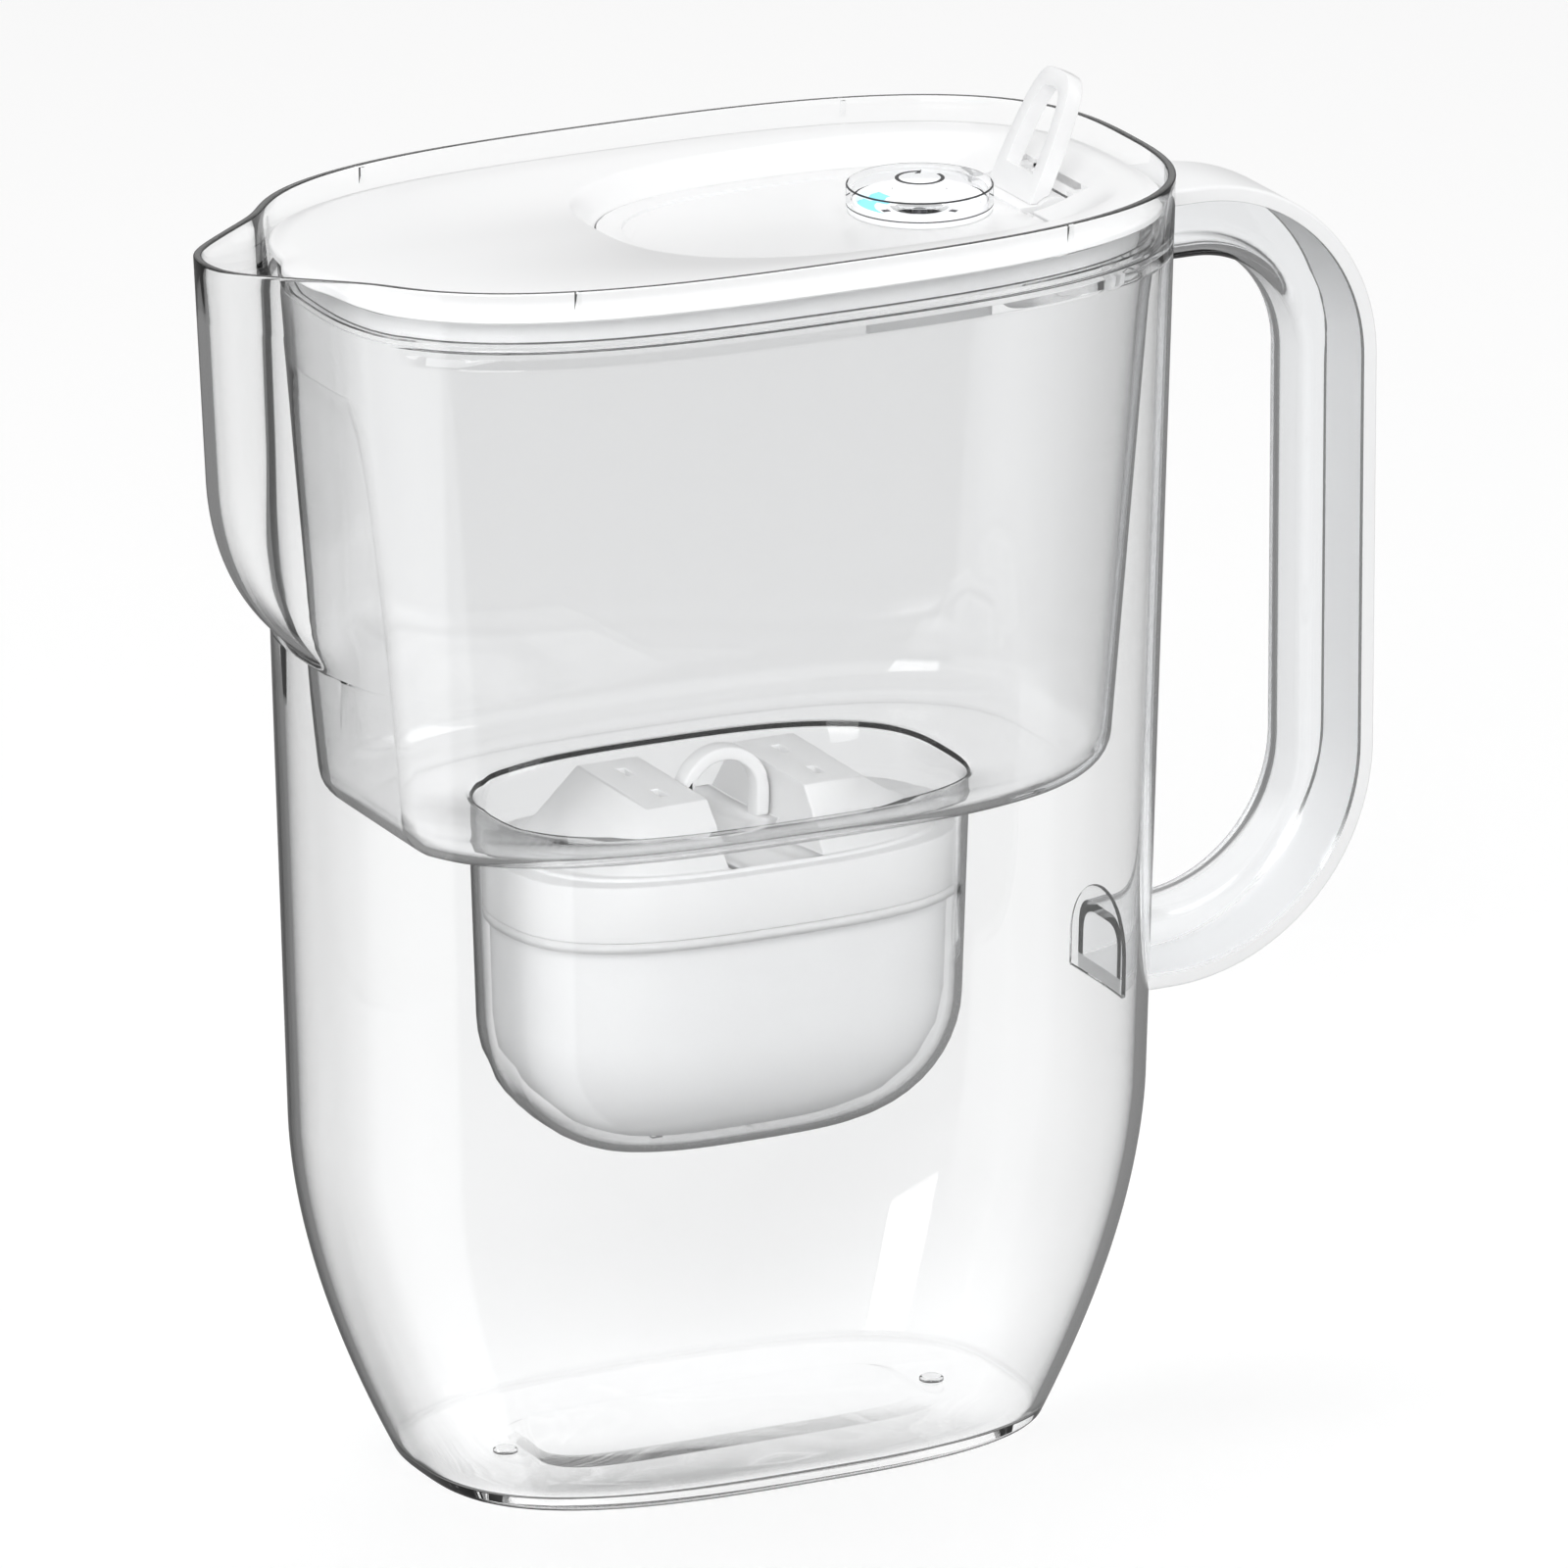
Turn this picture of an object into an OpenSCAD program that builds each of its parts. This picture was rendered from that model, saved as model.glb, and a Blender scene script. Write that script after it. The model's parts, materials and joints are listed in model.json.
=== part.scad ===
// Water filter pitcher with a flip lid. Millimetres, +Z up, spout towards -X, handle towards +X.
// The origin is the centre of the base, on the surface that the pitcher stands on.

/* [Jug] */
// Height of the rim above the base
jug_h = 271; // [255:1:290]
// Length of the body at the rim, without the spout nose
rim_l = 193.6; // [180:0.2:210]
// Width of the body at the rim
rim_w = 115.6; // [108:0.2:126]
// Length of the base
base_l = 137.8; // [120:0.2:150]
// Width of the base
base_w = 82.2; // [72:0.2:90]
// Inward lean of the end walls over the whole height
draft_l = 7.4; // [5:0.1:9]
// Inward lean of the side walls over the whole height
draft_w = 4.4; // [3:0.1:5]
// Height over which the walls curve in to the base
foot_h = 75; // [60:1:90]
// Radius of the bottom edge
foot_r = 1.5; // [0.8:0.1:2.5]
// Wall thickness of the jug
jug_wall = 2.4; // [2.2:0.1:2.8]
// Wall thickness above the ledge that carries the funnel
rim_wall = 1.6; // [1.4:0.1:1.9]
// Height of the rim above the ledge that carries the funnel
ledge_drop = 13.3; // [12:0.1:18]
// Depth of the ledge, from the outside of the wall
ledge_d = 3.5; // [3.2:0.1:4]
// Thickness of the floor
floor_t = 3.2; // [2.5:0.1:4]
// Length of the raised panel on the floor
panel_l = 92; // [70:1:100]
// Width of the raised panel on the floor
panel_w = 36; // [25:1:44]
// Height of the raised panel
panel_t = 0.8; // [0.4:0.1:1.5]
// Distance of a floor pip from the centre
pip_x = 50; // [48:0.5:56]
// Radius of a floor pip
pip_r = 2.6; // [1.5:0.1:3.5]
// Width of a lid locating rib
rib_w = 1.6; // [1:0.1:2.5]
// Height of a lid locating rib
rib_h = 3.6; // [2:0.1:4]
// Distance of the ribs near the spout from the body's centre
rib_spout = 57; // [50:1:64]
// Distance of the ribs near the handle from the body's centre
rib_handle = 55; // [48:1:62]

/* [Spout] */
// Distance from the body's centre to the tip of the spout at the rim
spout_tip = 117.6; // [112:0.2:122]
// Distance from the body's centre to where the spout's side lines would meet
spout_apex = 127.6; // [123:0.2:131]
// Angle of each side of the spout to the centre line
spout_angle = 39.7; // [36:0.1:43]
// Inward lean of the spout's keel per millimetre of height
spout_lean = 0.05; // [0.03:0.01:0.07]
// Height of the rim above the point where the keel starts to curve in to the body
keel_drop = 49; // [41:1:56]
// Height over which the keel curves in
keel_h = 40; // [36:1:44]
// Depth by which the keel curves in
keel_in = 30; // [28:1:34]

/* [Handle] */
// Distance from the body's centre to the outer face of the grip
grip_x = 149.5; // [144:0.5:156]
// Width of the grip
grip_w = 21.6; // [18:0.2:25]
// Depth of the grip, from its inner face to its outer face
grip_d = 16.3; // [14:0.1:19]
// Height of the rim above the grip's top face
grip_drop = 10; // [7:0.5:14]
// Height of the grip's bottom face
grip_bottom = 85.8; // [78:0.2:95]
// Outer radius of the grip's upper corner
grip_r_top = 42; // [36:0.5:46]
// Outer radius of the grip's lower corner
grip_r_bottom = 48; // [40:0.5:52]
// Thickness of the white cover strip
cover_t = 3.2; // [2.4:0.1:4]
// Wall thickness of the clear channel
channel_wall = 2.2; // [1.6:0.1:2.8]
// Radius of the channel's inner edges
channel_r = 9.4; // [6:0.1:9.8]
// Gap between the handle and the pads on the wall
handle_gap = 0.15; // [0.1:0.05:0.3]
// Width of the D-shaped pad on the wall behind the grip's lower end
root_w = 26.8; // [24:0.2:30]
// Height of the D-shaped pad
root_h = 21; // [19:0.2:26]
// Standing height of the pads behind the grip's ends
pad_t = 1; // [0.6:0.1:1.6]

/* [Funnel] */
// Height of the ledge above the underside of the funnel's floor
funnel_h = 115.3; // [108:0.1:122]
// Length of the funnel at its floor
funnel_l = 165.2; // [158:0.2:172]
// Width of the funnel at its floor
funnel_w = 99.2; // [94:0.2:103]
// Radius of the edge between the funnel's wall and floor
funnel_r = 9; // [6:0.5:12]
// Wall thickness of the funnel
funnel_wall = 1.8; // [1.5:0.1:2.2]
// Clearance between the top of the funnel's wall and the ledge
funnel_clear = 0.5; // [0.4:0.1:0.8]
// Thickness of the lip that rests on the ledge
lip_t = 1.6; // [1.2:0.1:2]
// Height of the funnel's wall above the lip
collar_h = 4.1; // [3:0.1:5]
// Depth by which the pouring face is cut back from the funnel's end at its widest
scoop_in = 2.2; // [1:0.1:3]
// Height of the pouring face's lower edge above the floor
scoop_low = 11; // [9:0.5:14]
// Height of the ledge above the pouring face's upper end
scoop_drop = 15.7; // [8:0.1:22]

/* [Cup] */
// Length of the filter cup at its mouth
cup_l = 106; // [100:0.2:112]
// Width of the filter cup at its mouth
cup_w = 65; // [60:0.2:70]
// Depth of the cup below the funnel's floor
cup_h = 74.4; // [64:0.1:80]
// Inward lean of the cup's end walls from mouth to bottom
cup_draft = 2.2; // [1:0.1:3]
// Radius of the cup's bottom edge along its length
cup_r_l = 27; // [20:0.5:30]
// Radius of the cup's bottom edge across its width
cup_r_w = 20; // [16:0.5:23]
// Wall thickness of the cup
cup_wall = 1.5; // [1.3:0.1:2]
// Number of drain slots in the bottom of the cup
drain_count = 5; // [3:2:7]
// Width of a drain slot
drain_w = 2.4; // [1.5:0.1:3]
// Length of a drain slot
drain_l = 14; // [8:1:18]
// Distance between drain slots
drain_pitch = 9; // [7:0.5:10]

/* [Cartridge] */
// Gap between the cartridge's collar and the cup's wall
cartridge_gap = 0.5; // [0.4:0.1:0.8]
// Depth of the collar's lower edge below the funnel's floor
collar_drop = 22; // [17:0.1:28]
// Height of the collar
band_h = 12.3; // [9:0.1:14]
// Wall thickness of the cartridge
cartridge_wall = 1.5; // [1.2:0.1:2]
// Height of the humps' flat tops above the collar
hump_h = 13.3; // [10:0.1:15]
// Distance of a hump's centre from the cartridge's centre
hump_x = 18; // [17:0.5:21]
// Length of a hump's flat top
hump_top_l = 14; // [10:0.5:15]
// Width of a hump's flat top
hump_top_w = 33; // [26:0.5:36]
// Margin between a hump's foot and the end of the collar
foot_end = 8; // [5:0.5:12]
// Margin between a hump's foot and the side of the collar
foot_side = 3; // [2:0.5:6]
// Height of the pull loop above the humps
loop_h = 5.6; // [4:0.1:8]
// Thickness of the pull loop
loop_t = 2.8; // [2:0.1:4]
// Width of the pull loop
loop_w = 5; // [4:0.1:7]
// Thickness of a screen
screen_t = 0.6; // [0.4:0.1:1]
// Depth of the filter media's top below the collar's top
media_drop = 7; // [5:0.5:12]

/* [Lid] */
// Gap between the lid's edge and the jug wall
lid_gap = 0.8; // [0.7:0.1:1.2]
// Height of the lid's underside at its edge above the funnel's collar
lid_seat_gap = 0.3; // [0.2:0.05:0.5]
// Thickness of the lid
lid_t = 2.0; // [1.6:0.1:2.6]
// Rise of the lid from its edge to its flat top
lid_rise = 1.0; // [0.5:0.1:1.6]
// Distance from the body's centre to the lid's spout end
lid_tip = 97.2; // [95.6:0.2:99]
// Depth of the skirt below the lid's edge
skirt_h = 6; // [4:0.1:8]
// Thickness of the skirt
skirt_t = 1.6; // [1.2:0.1:2.2]
// Gap between the skirt and the funnel's wall
skirt_gap = 0.6; // [0.4:0.1:1]
// Centre of the dish along the lid
dish_x = 29.5; // [28:0.5:30]
// Margin between the dish and the lid's edge at the handle end
dish_end = 6.7; // [6:0.1:9]
// Margin between the dish and the lid's edge at the sides
dish_side = 15.3; // [12:0.1:18]
// Distance of the flap's centre from the dish's centre, towards the spout
flap_shift = 3.5; // [2:0.5:5]
// Width of the dish's slope at the flap's ends, before the shift
slope_l = 9; // [7:0.5:11]
// Width of the dish's slope at the flap's sides
slope_w = 6.5; // [5:0.5:9]
// Gap round the flap
flap_gap = 0.4; // [0.3:0.05:0.6]
// Gap at the flap's heel, beside the hinge
heel_gap = 1.2; // [1:0.1:1.6]
// Width of the ledge that the flap closes on
flap_ledge = 2.5; // [1.5:0.1:3]
// Depth of the flap's top face below the lid's flat top
flap_drop = 5; // [4:0.1:6]
// Thickness of the flap
flap_t = 2.2; // [1.8:0.1:2.8]
// Depth of the shallow tray in the flap's top
tray_t = 0.7; // [0.4:0.1:1]
// Width of the flap's raised edge
tray_edge = 5; // [3:0.5:7]
// Width of a latch ear under the lid
ear_w = 5.4; // [4:0.2:7]
// Drop of a latch ear below the skirt
ear_h = 6; // [4:0.5:8]
// Distance of a latch ear from the body's centre along the lid
ear_x = 72.5; // [70:0.5:74]

/* [Hinge] */
// Hinge axis: distance from the body's centre
hinge_x = 73; // [72:0.5:74]
// Hinge axis: depth below the flap's top face
hinge_drop = 4; // [3.5:0.1:5]
// Radius of the hinge barrel
barrel_r = 5.4; // [4.5:0.1:6]
// Length of the hinge barrel
barrel_l = 22; // [18:0.5:24]
// Radius of the hinge pin
pin_r = 1.5; // [1:0.1:2]
// Running clearance round the hinge pin
pin_gap = 0.05; // [0.02:0.01:0.1]
// Clearance round the barrel and its arm
barrel_gap = 0.6; // [0.4:0.1:1]
// Thickness of each hinge lug
lug_t = 3.4; // [2.6:0.1:4]
// Length of the thumb loop from the hinge axis to its tip
thumb_l = 29.5; // [28:0.1:31]
// Offset of the thumb loop from the hinge axis towards the spout
thumb_off = 4.75; // [4.6:0.05:5]
// Lean of the thumb loop from upright towards the handle
thumb_lean = 24.5; // [20:0.1:25]
// Width of the thumb loop at its foot
thumb_w = 19.6; // [18:0.2:21]
// Squareness of the thumb loop's sides
thumb_n = 4.2; // [3:0.1:5]
// Squareness of the thumb loop's tip
tip_n = 2.2; // [2:0.1:3]
// Width of the thumb loop's bar
thumb_bar = 3.9; // [3:0.1:4.5]
// Thickness of the thumb loop
thumb_t = 3.6; // [3:0.1:4]
// Opening of the flap that the slope behind the thumb loop allows
flap_open = 40; // [30:1:45]
// Gap between the open thumb loop and that slope
slope_gap = 0.6; // [0.4:0.1:1]

/* [Indicator] */
// Centre of the indicator along the lid
ind_x = 46.9; // [45:0.1:47.5]
// Radius of the clear button
lens_r = 15.4; // [14:0.1:16]
// Height of the clear button's rim above the flap's tray
lens_h = 5.7; // [5:0.1:6]
// Rise of the clear button's dome
dome_h = 1.2; // [0.8:0.1:1.6]
// Wall thickness of the clear button
lens_wall = 1.2; // [1:0.1:1.6]
// Travel of the clear button
press = 0.6; // [0.4:0.1:0.8]
// Radius of the pillar under the dome
pillar_r = 5.6; // [4:0.1:6]
// Outer radius of the housing below the flap
housing_r = 13.2; // [12:0.1:13.6]
// Wall thickness of the housing
housing_wall = 1.3; // [1:0.1:1.6]
// Depth of the housing below the flap's tray
housing_h = 9.9; // [9.7:0.1:11]
// Thickness of the housing's flange
flange_t = 0.5; // [0.4:0.1:0.8]
// Thickness of the printed dial
dial_t = 0.2; // [0.1:0.05:0.3]
// Width of a light post
led_w = 1.5; // [1.2:0.1:1.8]
// Distance of a light post from the button's axis
led_at = 7.8; // [7.6:0.1:9]
// Radius of the coin cell
cell_r = 10; // [8:0.1:10]
// Thickness of the coin cell
cell_t = 3.2; // [2.5:0.1:3.2]
// Thickness of the circuit board
board_t = 1.0; // [0.8:0.1:1.2]

/* [Hidden] */

$fn = 64;
// Roundness of the plan: 2 is an ellipse, larger values are squarer
plan_n = 2.87;
dish_n = 2.6;
// Power of the walls' curve to the base
foot_power = 1.87;
// Sharpness of the spout's tip and softness of its root
tip_sharp = 40;
root_soft = 1;
// Angles from the spout, at which the nose fades into the body
nose_in = 18;
nose_out = 30;
eps = 0.01;

// Heights that follow from the jug's
ledge_z = jug_h - ledge_drop;
keel_z = jug_h - keel_drop;
grip_top = jug_h - grip_drop;
funnel_z = ledge_z - funnel_h;
cup_z = funnel_z - cup_h;
collar_z = funnel_z - collar_drop;

// Angles round a section, measured from the spout, closer together near it
fine_step = 2;
fine_end = 24;
coarse_step = 6;
half_angles = concat([for (a = [0 : fine_step : fine_end]) a],
    [for (a = [fine_end + coarse_step : coarse_step : 180]) a]);
angles = concat(half_angles, [for (i = [len(half_angles) - 2 : -1 : 1]) -half_angles[i]]);
count = len(angles);

function smooth(t) = t <= 0 ? 0 : t >= 1 ? 1 : t * t * (3 - 2 * t);
function lerp(a, b, t) = a + (b - a) * t;
function back(list) = [for (i = [len(list) - 1 : -1 : 0]) list[i]];

// Half width of a superellipse at a place along it, and the tilt of its side there
function oval_y(x, a, b) = b * pow(1 - pow(abs(x) / a, plan_n), 1 / plan_n);
function oval_tilt(x, a, b) = atan2(pow(x, plan_n - 1) / pow(a, plan_n),
    pow(oval_y(x, a, b), plan_n - 1) / pow(b, plan_n));

// Distance from the centre to a superellipse with half sizes a and b, at an angle
function oval(angle, a, b, n = plan_n) =
    pow(pow(abs(cos(angle)) / a, n) + pow(abs(sin(angle)) / b, n), -1 / n);

// The same with a pointed nose at angle 0
function nosed(angle, a, b, tip, apex) =
    let (body = oval(angle, a, b),
        c = cos(angle),
        side = apex * tan(spout_angle) / (abs(sin(angle)) + c * tan(spout_angle)),
        nose = pow(pow(side, -tip_sharp) + pow(tip / c, -tip_sharp), -1 / tip_sharp),
        keep = 1 - smooth((abs(angle) - nose_in) / (nose_out - nose_in)))
    abs(angle) >= nose_out ? body
        : body + keep * root_soft * ln(1 + exp((nose - body) / root_soft));

// Half length and half width of the jug's outside at a height
function lower(z) = z < foot_h ? pow((foot_h - z) / foot_h, foot_power) : 0;
function edge(z) = z < foot_r ? foot_r - sqrt(foot_r * foot_r - pow(foot_r - z, 2)) : 0;
function jug_a(z) = lerp(rim_l / 2 - draft_l * (1 - z / jug_h), base_l / 2, lower(z)) - edge(z);
function jug_b(z) = lerp(rim_w / 2 - draft_w * (1 - z / jug_h), base_w / 2, lower(z)) - edge(z);
function keel(z) = let (d = (keel_z - z) / keel_h)
    d >= 1 ? 0.8 * jug_a(z) : spout_tip - spout_lean * (jug_h - z)
        - (d <= 0 ? 0 : keel_in * (1 - sqrt(1 - d * d)));

function spot(angle, r, z) = [-r * cos(angle), r * sin(angle), z];
function oval_ring(z, a, b, x = 0, n = plan_n) =
    [for (t = angles) spot(t, oval(t, a, b, n), z) + [x, 0, 0]];
function jug_ring(z, inset) =
    let (tip = keel(z) - inset, apex = spout_apex - spout_tip + keel(z) - 1.5 * inset)
    [for (t = angles) spot(t, nosed(t, jug_a(z) - inset, jug_b(z) - inset, tip, apex), z)];

// A closed skin through rings of points. A loop joins its last ring to its first. Otherwise both are capped.
module skin(rings, loop = false) {
    n = len(rings[0]);
    spans = loop ? len(rings) : len(rings) - 1;
    sides = [for (i = [0 : spans - 1], j = [0 : n - 1])
        let (a = i * n + j, b = i * n + (j + 1) % n, k = (i + 1) % len(rings),
            c = k * n + (j + 1) % n, d = k * n + j)
        each [[a, b, c], [a, c, d]]];
    last = (len(rings) - 1) * n;
    // Each cap is a strip of quads between the ring's two halves
    caps = loop ? [] : [for (j = [0 : n / 2 - 2])
        each [[n - 1 - j, n - 2 - j, j + 1, j],
            [last + j, last + j + 1, last + n - 2 - j, last + n - 1 - j]]];
    polyhedron(points = [for (r = rings) each r], faces = concat(sides, caps), convexity = 8);
}

// ---- Jug ----
keel_low = keel_z - keel_h;
outer_levels = concat([0, foot_r * 0.3, foot_r],
    [for (k = [0.08, 0.16, 0.25, 0.36, 0.48, 0.63, 0.8, 1]) foot_h * k],
    [for (k = [0.33, 0.7, 1]) lerp(foot_h, keel_low, k)],
    [for (k = [0.03, 0.08, 0.16, 0.28, 0.44, 0.64, 0.86, 1.15]) keel_low + keel_h * k],
    [lerp(keel_z, jug_h, 0.47), jug_h]);
ledge_t = 1.4;
ledge_root = 3.6;
inner_levels = [for (z = outer_levels) if (z > floor_t + 2 && z < ledge_z - ledge_root - 1) z];
rib_spots = [[-rib_spout, 1], [-rib_spout, -1], [rib_handle, 1], [rib_handle, -1]];

module jug_body() {
    color([0.93, 0.95, 0.96, 0.35]) {
        skin(concat(
            [for (z = outer_levels) jug_ring(z, 0)],
            [jug_ring(jug_h, rim_wall), jug_ring(ledge_z, rim_wall), jug_ring(ledge_z, ledge_d),
                jug_ring(ledge_z - ledge_t, ledge_d), jug_ring(ledge_z - ledge_root, jug_wall)],
            [for (z = back(inner_levels)) jug_ring(z, jug_wall)],
            [jug_ring(floor_t + 0.5, jug_wall + 0.5), jug_ring(floor_t, jug_wall + 2)]));
        translate([0, 0, floor_t - eps])
            linear_extrude(panel_t + eps)
                polygon([for (p = oval_ring(0, panel_l / 2, panel_w / 2, 0, 5)) [p[0], p[1]]]);
        for (s = [-1, 1])
            translate([s * pip_x, 0, floor_t - eps]) cylinder(r = pip_r, h = panel_t + eps, $fn = 32);
        for (s = rib_spots) lid_rib(s[0], s[1]);
        wall_pad(pad_low, jug_a(grip_bottom) - jug_wall / 2) d_shape(root_w, root_h);
        translate([0, 0, grip_top - grip_d - grip_bottom - 1])
            wall_pad(pad_top, jug_a(grip_top - grip_d) - jug_wall / 2)
                translate([-grip_w / 2 - 1, 0]) square([grip_w + 2, grip_d + 2]);
    }
}

// Outer faces of the pads that the grip's ends are seated on
pad_low = jug_a(grip_bottom + root_h) + pad_t;
pad_top = jug_a(grip_top) + pad_t;

// A pad on the wall, from inside the wall's thickness out to a flat face
module wall_pad(face, start) {
    translate([start, 0, grip_bottom]) rotate([90, 0, 90]) linear_extrude(face - start) children();
}

// Distance from the centre line to the inside of the rim at a place along it
function rim_inside(x) = oval_y(x, jug_a(jug_h) - rim_wall, jug_b(jug_h) - rim_wall);

module lid_rib(x, side) {
    rib_d = lid_gap - 0.3;
    y = rim_inside(abs(x) + rib_w / 2) - rib_d;
    translate([x - rib_w / 2, side > 0 ? y : -y - rim_wall, jug_h - rib_h - 0.4])
        cube([rib_w, rim_wall, rib_h]);
}

// ---- Handle ----
top_cx = grip_x - grip_r_top;
top_cz = grip_top - grip_r_top;
low_cx = grip_x - grip_r_bottom;
low_cz = grip_bottom + grip_r_bottom;

// Where the grip's ends stop, just clear of the pads
top_end = pad_top + handle_gap;
low_end = pad_low + handle_gap;
cover_gap = 0.05;

// Stations round the D of the grip: a point on its outer face and the direction in to the fingers
turn = 7.5;
function turn_at(cx, cz, r, t) = [cx + r * cos(t), cz + r * sin(t), -cos(t), -sin(t)];
grip_path = concat([[low_end, grip_bottom, 0, 1]],
    [for (t = [-90 : turn : 0]) turn_at(low_cx, low_cz, grip_r_bottom, t)],
    [for (t = [0 : turn : 90]) turn_at(top_cx, top_cz, grip_r_top, t)],
    [[top_end, grip_top, 0, -1]]);

// Sweeps an outline of [depth, side] points round the grip
module grip_sweep(outline) {
    skin([for (s = grip_path) [for (p = outline) [s[0] + p[0] * s[2], p[1], s[1] + p[0] * s[3]]]]);
}

// A quarter turn of an outline's edge, from angle t
function quarter(d, y, r, t) = [for (a = [0 : 18 : 90]) [d + r * cos(t + a), y + r * sin(t + a)]];

// Outline of the clear channel: rounded towards the fingers, open towards the cover
function channel_outline() =
    let (low = cover_t + cover_gap, y = grip_w / 2 - channel_r, d = grip_d - channel_r,
        w = grip_w / 2, r = channel_r - channel_wall)
    concat([[low, -w]], quarter(d, -y, channel_r, -90), quarter(d, y, channel_r, 0), [[low, w]],
        [[low, w - channel_wall]], back(quarter(d, y, r, 0)), back(quarter(d, -y, r, -90)),
        [[low, channel_wall - w]]);

module handle_channel() {
    color([0.93, 0.95, 0.96, 0.35]) grip_sweep(channel_outline());
}

module handle_cover() {
    w = grip_w / 2;
    color([0.97, 0.97, 0.97]) grip_sweep([[0, -w], [cover_t, -w], [cover_t, w], [0, w]]);
}

// A D lying on its flat side
module d_shape(w, h) {
    translate([-w / 2, 0]) square([w, h - w / 2]);
    translate([0, h - w / 2]) intersection() {
        circle(w / 2);
        translate([-w / 2, 0]) square([w, w / 2]);
    }
}

// ---- Funnel and filter cup ----
lip_gap = 0.3;
lip_z = ledge_z + lip_gap;
funnel_top = lip_z + lip_t + collar_h;
funnel_in = ledge_d + funnel_clear;
lip_in = rim_wall + 0.5;
function funnel_a(z) = lerp(funnel_l / 2, jug_a(ledge_z) - funnel_in, (z - funnel_z) / (ledge_z - funnel_z));
function funnel_b(z) = lerp(funnel_w / 2, jug_b(ledge_z) - funnel_in, (z - funnel_z) / (ledge_z - funnel_z));

// The pouring face: a nearly flat face that fades out towards the top
scoop_z = funnel_z + scoop_low;
scoop_top = ledge_z - scoop_drop;
scoop_levels = [for (k = [0, 0.13, 0.36, 0.58, 0.75, 0.89, 0.98, 1]) lerp(scoop_z, scoop_top, k)];
function scoop_x(z) = z > scoop_top ? 1000
    : funnel_a(z) - scoop_in * sqrt(max(0, 1 - pow(max(0, z - scoop_z) / (scoop_top - scoop_z), 3)));

// Rings with a corner of the pouring face on the same two points of each
face_points = 3;
wall_points = 28;
plain_corner = 8;
function corner(z, a, b) = let (cut = scoop_x(z))
    cut >= a ? plain_corner : atan2(oval_y(cut, a, b), cut);
function face_angles(c) = let (half = concat([for (i = [0 : face_points]) c * i / face_points],
        [for (i = [1 : wall_points]) c + (180 - c) * i / wall_points]))
    concat(half, [for (i = [len(half) - 2 : -1 : 1]) -half[i]]);
function funnel_ring(z, inset) =
    let (a = funnel_a(z), b = funnel_b(z), c = corner(z, a, b))
    [for (t = face_angles(c))
        spot(t, min(oval(t, a - inset, b - inset), abs(t) < 80 ? (scoop_x(z) - inset) / cos(t) : 1000), z)];
function plain_ring(z, a, b) = [for (t = face_angles(plain_corner)) spot(t, oval(t, a, b), z)];

function cup_a(z) = cup_l / 2 - cup_draft * (funnel_z - z) / (funnel_z - cup_z);
function cup_b(z) = cup_w / 2 - cup_draft * (funnel_z - z) / (funnel_z - cup_z);
// Rings of a cup: inset from the cup's outside and lift of its bottom
function cup_rings(inset, lift) =
    [for (t = [0 : 18 : 90])
        let (rl = cup_r_l - inset, rw = cup_r_w - inset, z = cup_z + lift + rl * (1 - sin(t)))
        plain_ring(z, cup_a(z) - inset - rl * (1 - cos(t)), cup_b(z) - inset - rw * (1 - cos(t)))];

module funnel() {
    top_lip = lip_z + lip_t;
    outside = concat(
        back(cup_rings(0, 0)),
        [plain_ring(funnel_z, cup_l / 2, cup_w / 2)],
        [for (t = [90 : -18 : 0])
            let (z = funnel_z + funnel_r * (1 - sin(t)))
            funnel_ring(z, funnel_r * (1 - cos(t)))],
        [for (z = concat(scoop_levels, [lip_z])) funnel_ring(z, 0)],
        [plain_ring(lip_z, jug_a(lip_z) - lip_in, jug_b(lip_z) - lip_in),
            plain_ring(top_lip, jug_a(lip_z) - lip_in, jug_b(lip_z) - lip_in),
            plain_ring(top_lip, funnel_a(top_lip), funnel_b(top_lip)),
            plain_ring(funnel_top, funnel_a(top_lip), funnel_b(top_lip))]);
    inside = concat(
        [plain_ring(funnel_top, funnel_a(top_lip) - funnel_wall, funnel_b(top_lip) - funnel_wall)],
        [for (z = concat([lip_z], back(scoop_levels))) funnel_ring(z, funnel_wall)],
        [for (t = [18 : 18 : 90])
            let (r = funnel_r - funnel_wall, z = funnel_z + funnel_wall + r * (1 - sin(t)))
            funnel_ring(z, funnel_wall + r * (1 - cos(t)))],
        [plain_ring(funnel_z + funnel_wall, cup_l / 2 - cup_wall, cup_w / 2 - cup_wall)],
        cup_rings(cup_wall, cup_wall));
    color([0.93, 0.95, 0.96, 0.35]) difference() {
        skin(concat(outside, inside));
        for (i = [0 : drain_count - 1])
            translate([(i - (drain_count - 1) / 2) * drain_pitch - drain_w / 2, -drain_l / 2, cup_z - 1])
                cube([drain_w, drain_l, cup_wall + 2]);
    }
}

// ---- Cartridge ----
band_top = collar_z + band_h;
hump_z = band_top + hump_h;
cart_a = cup_a(collar_z) - cup_wall - cartridge_gap;
cart_b = cup_b(collar_z) - cup_wall - cartridge_gap;
shell_a = cart_a - cartridge_wall - 0.3;
shell_b = cart_b - cartridge_wall - 0.3;
shell_gap = 1.2;

function shell_rings(inset, lift) =
    [for (t = [0 : 18 : 90])
        let (rl = cup_r_l - cup_wall - inset, rw = cup_r_w - cup_wall - inset,
            z = cup_z + cup_wall + shell_gap + lift + rl * (1 - sin(t)))
        plain_ring(z, shell_at(z, shell_a) - inset - rl * (1 - cos(t)),
            shell_at(z, shell_b) - inset - rw * (1 - cos(t)))];
function shell_at(z, half) = half - cup_draft * (collar_z - z) / (funnel_z - cup_z);

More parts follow.
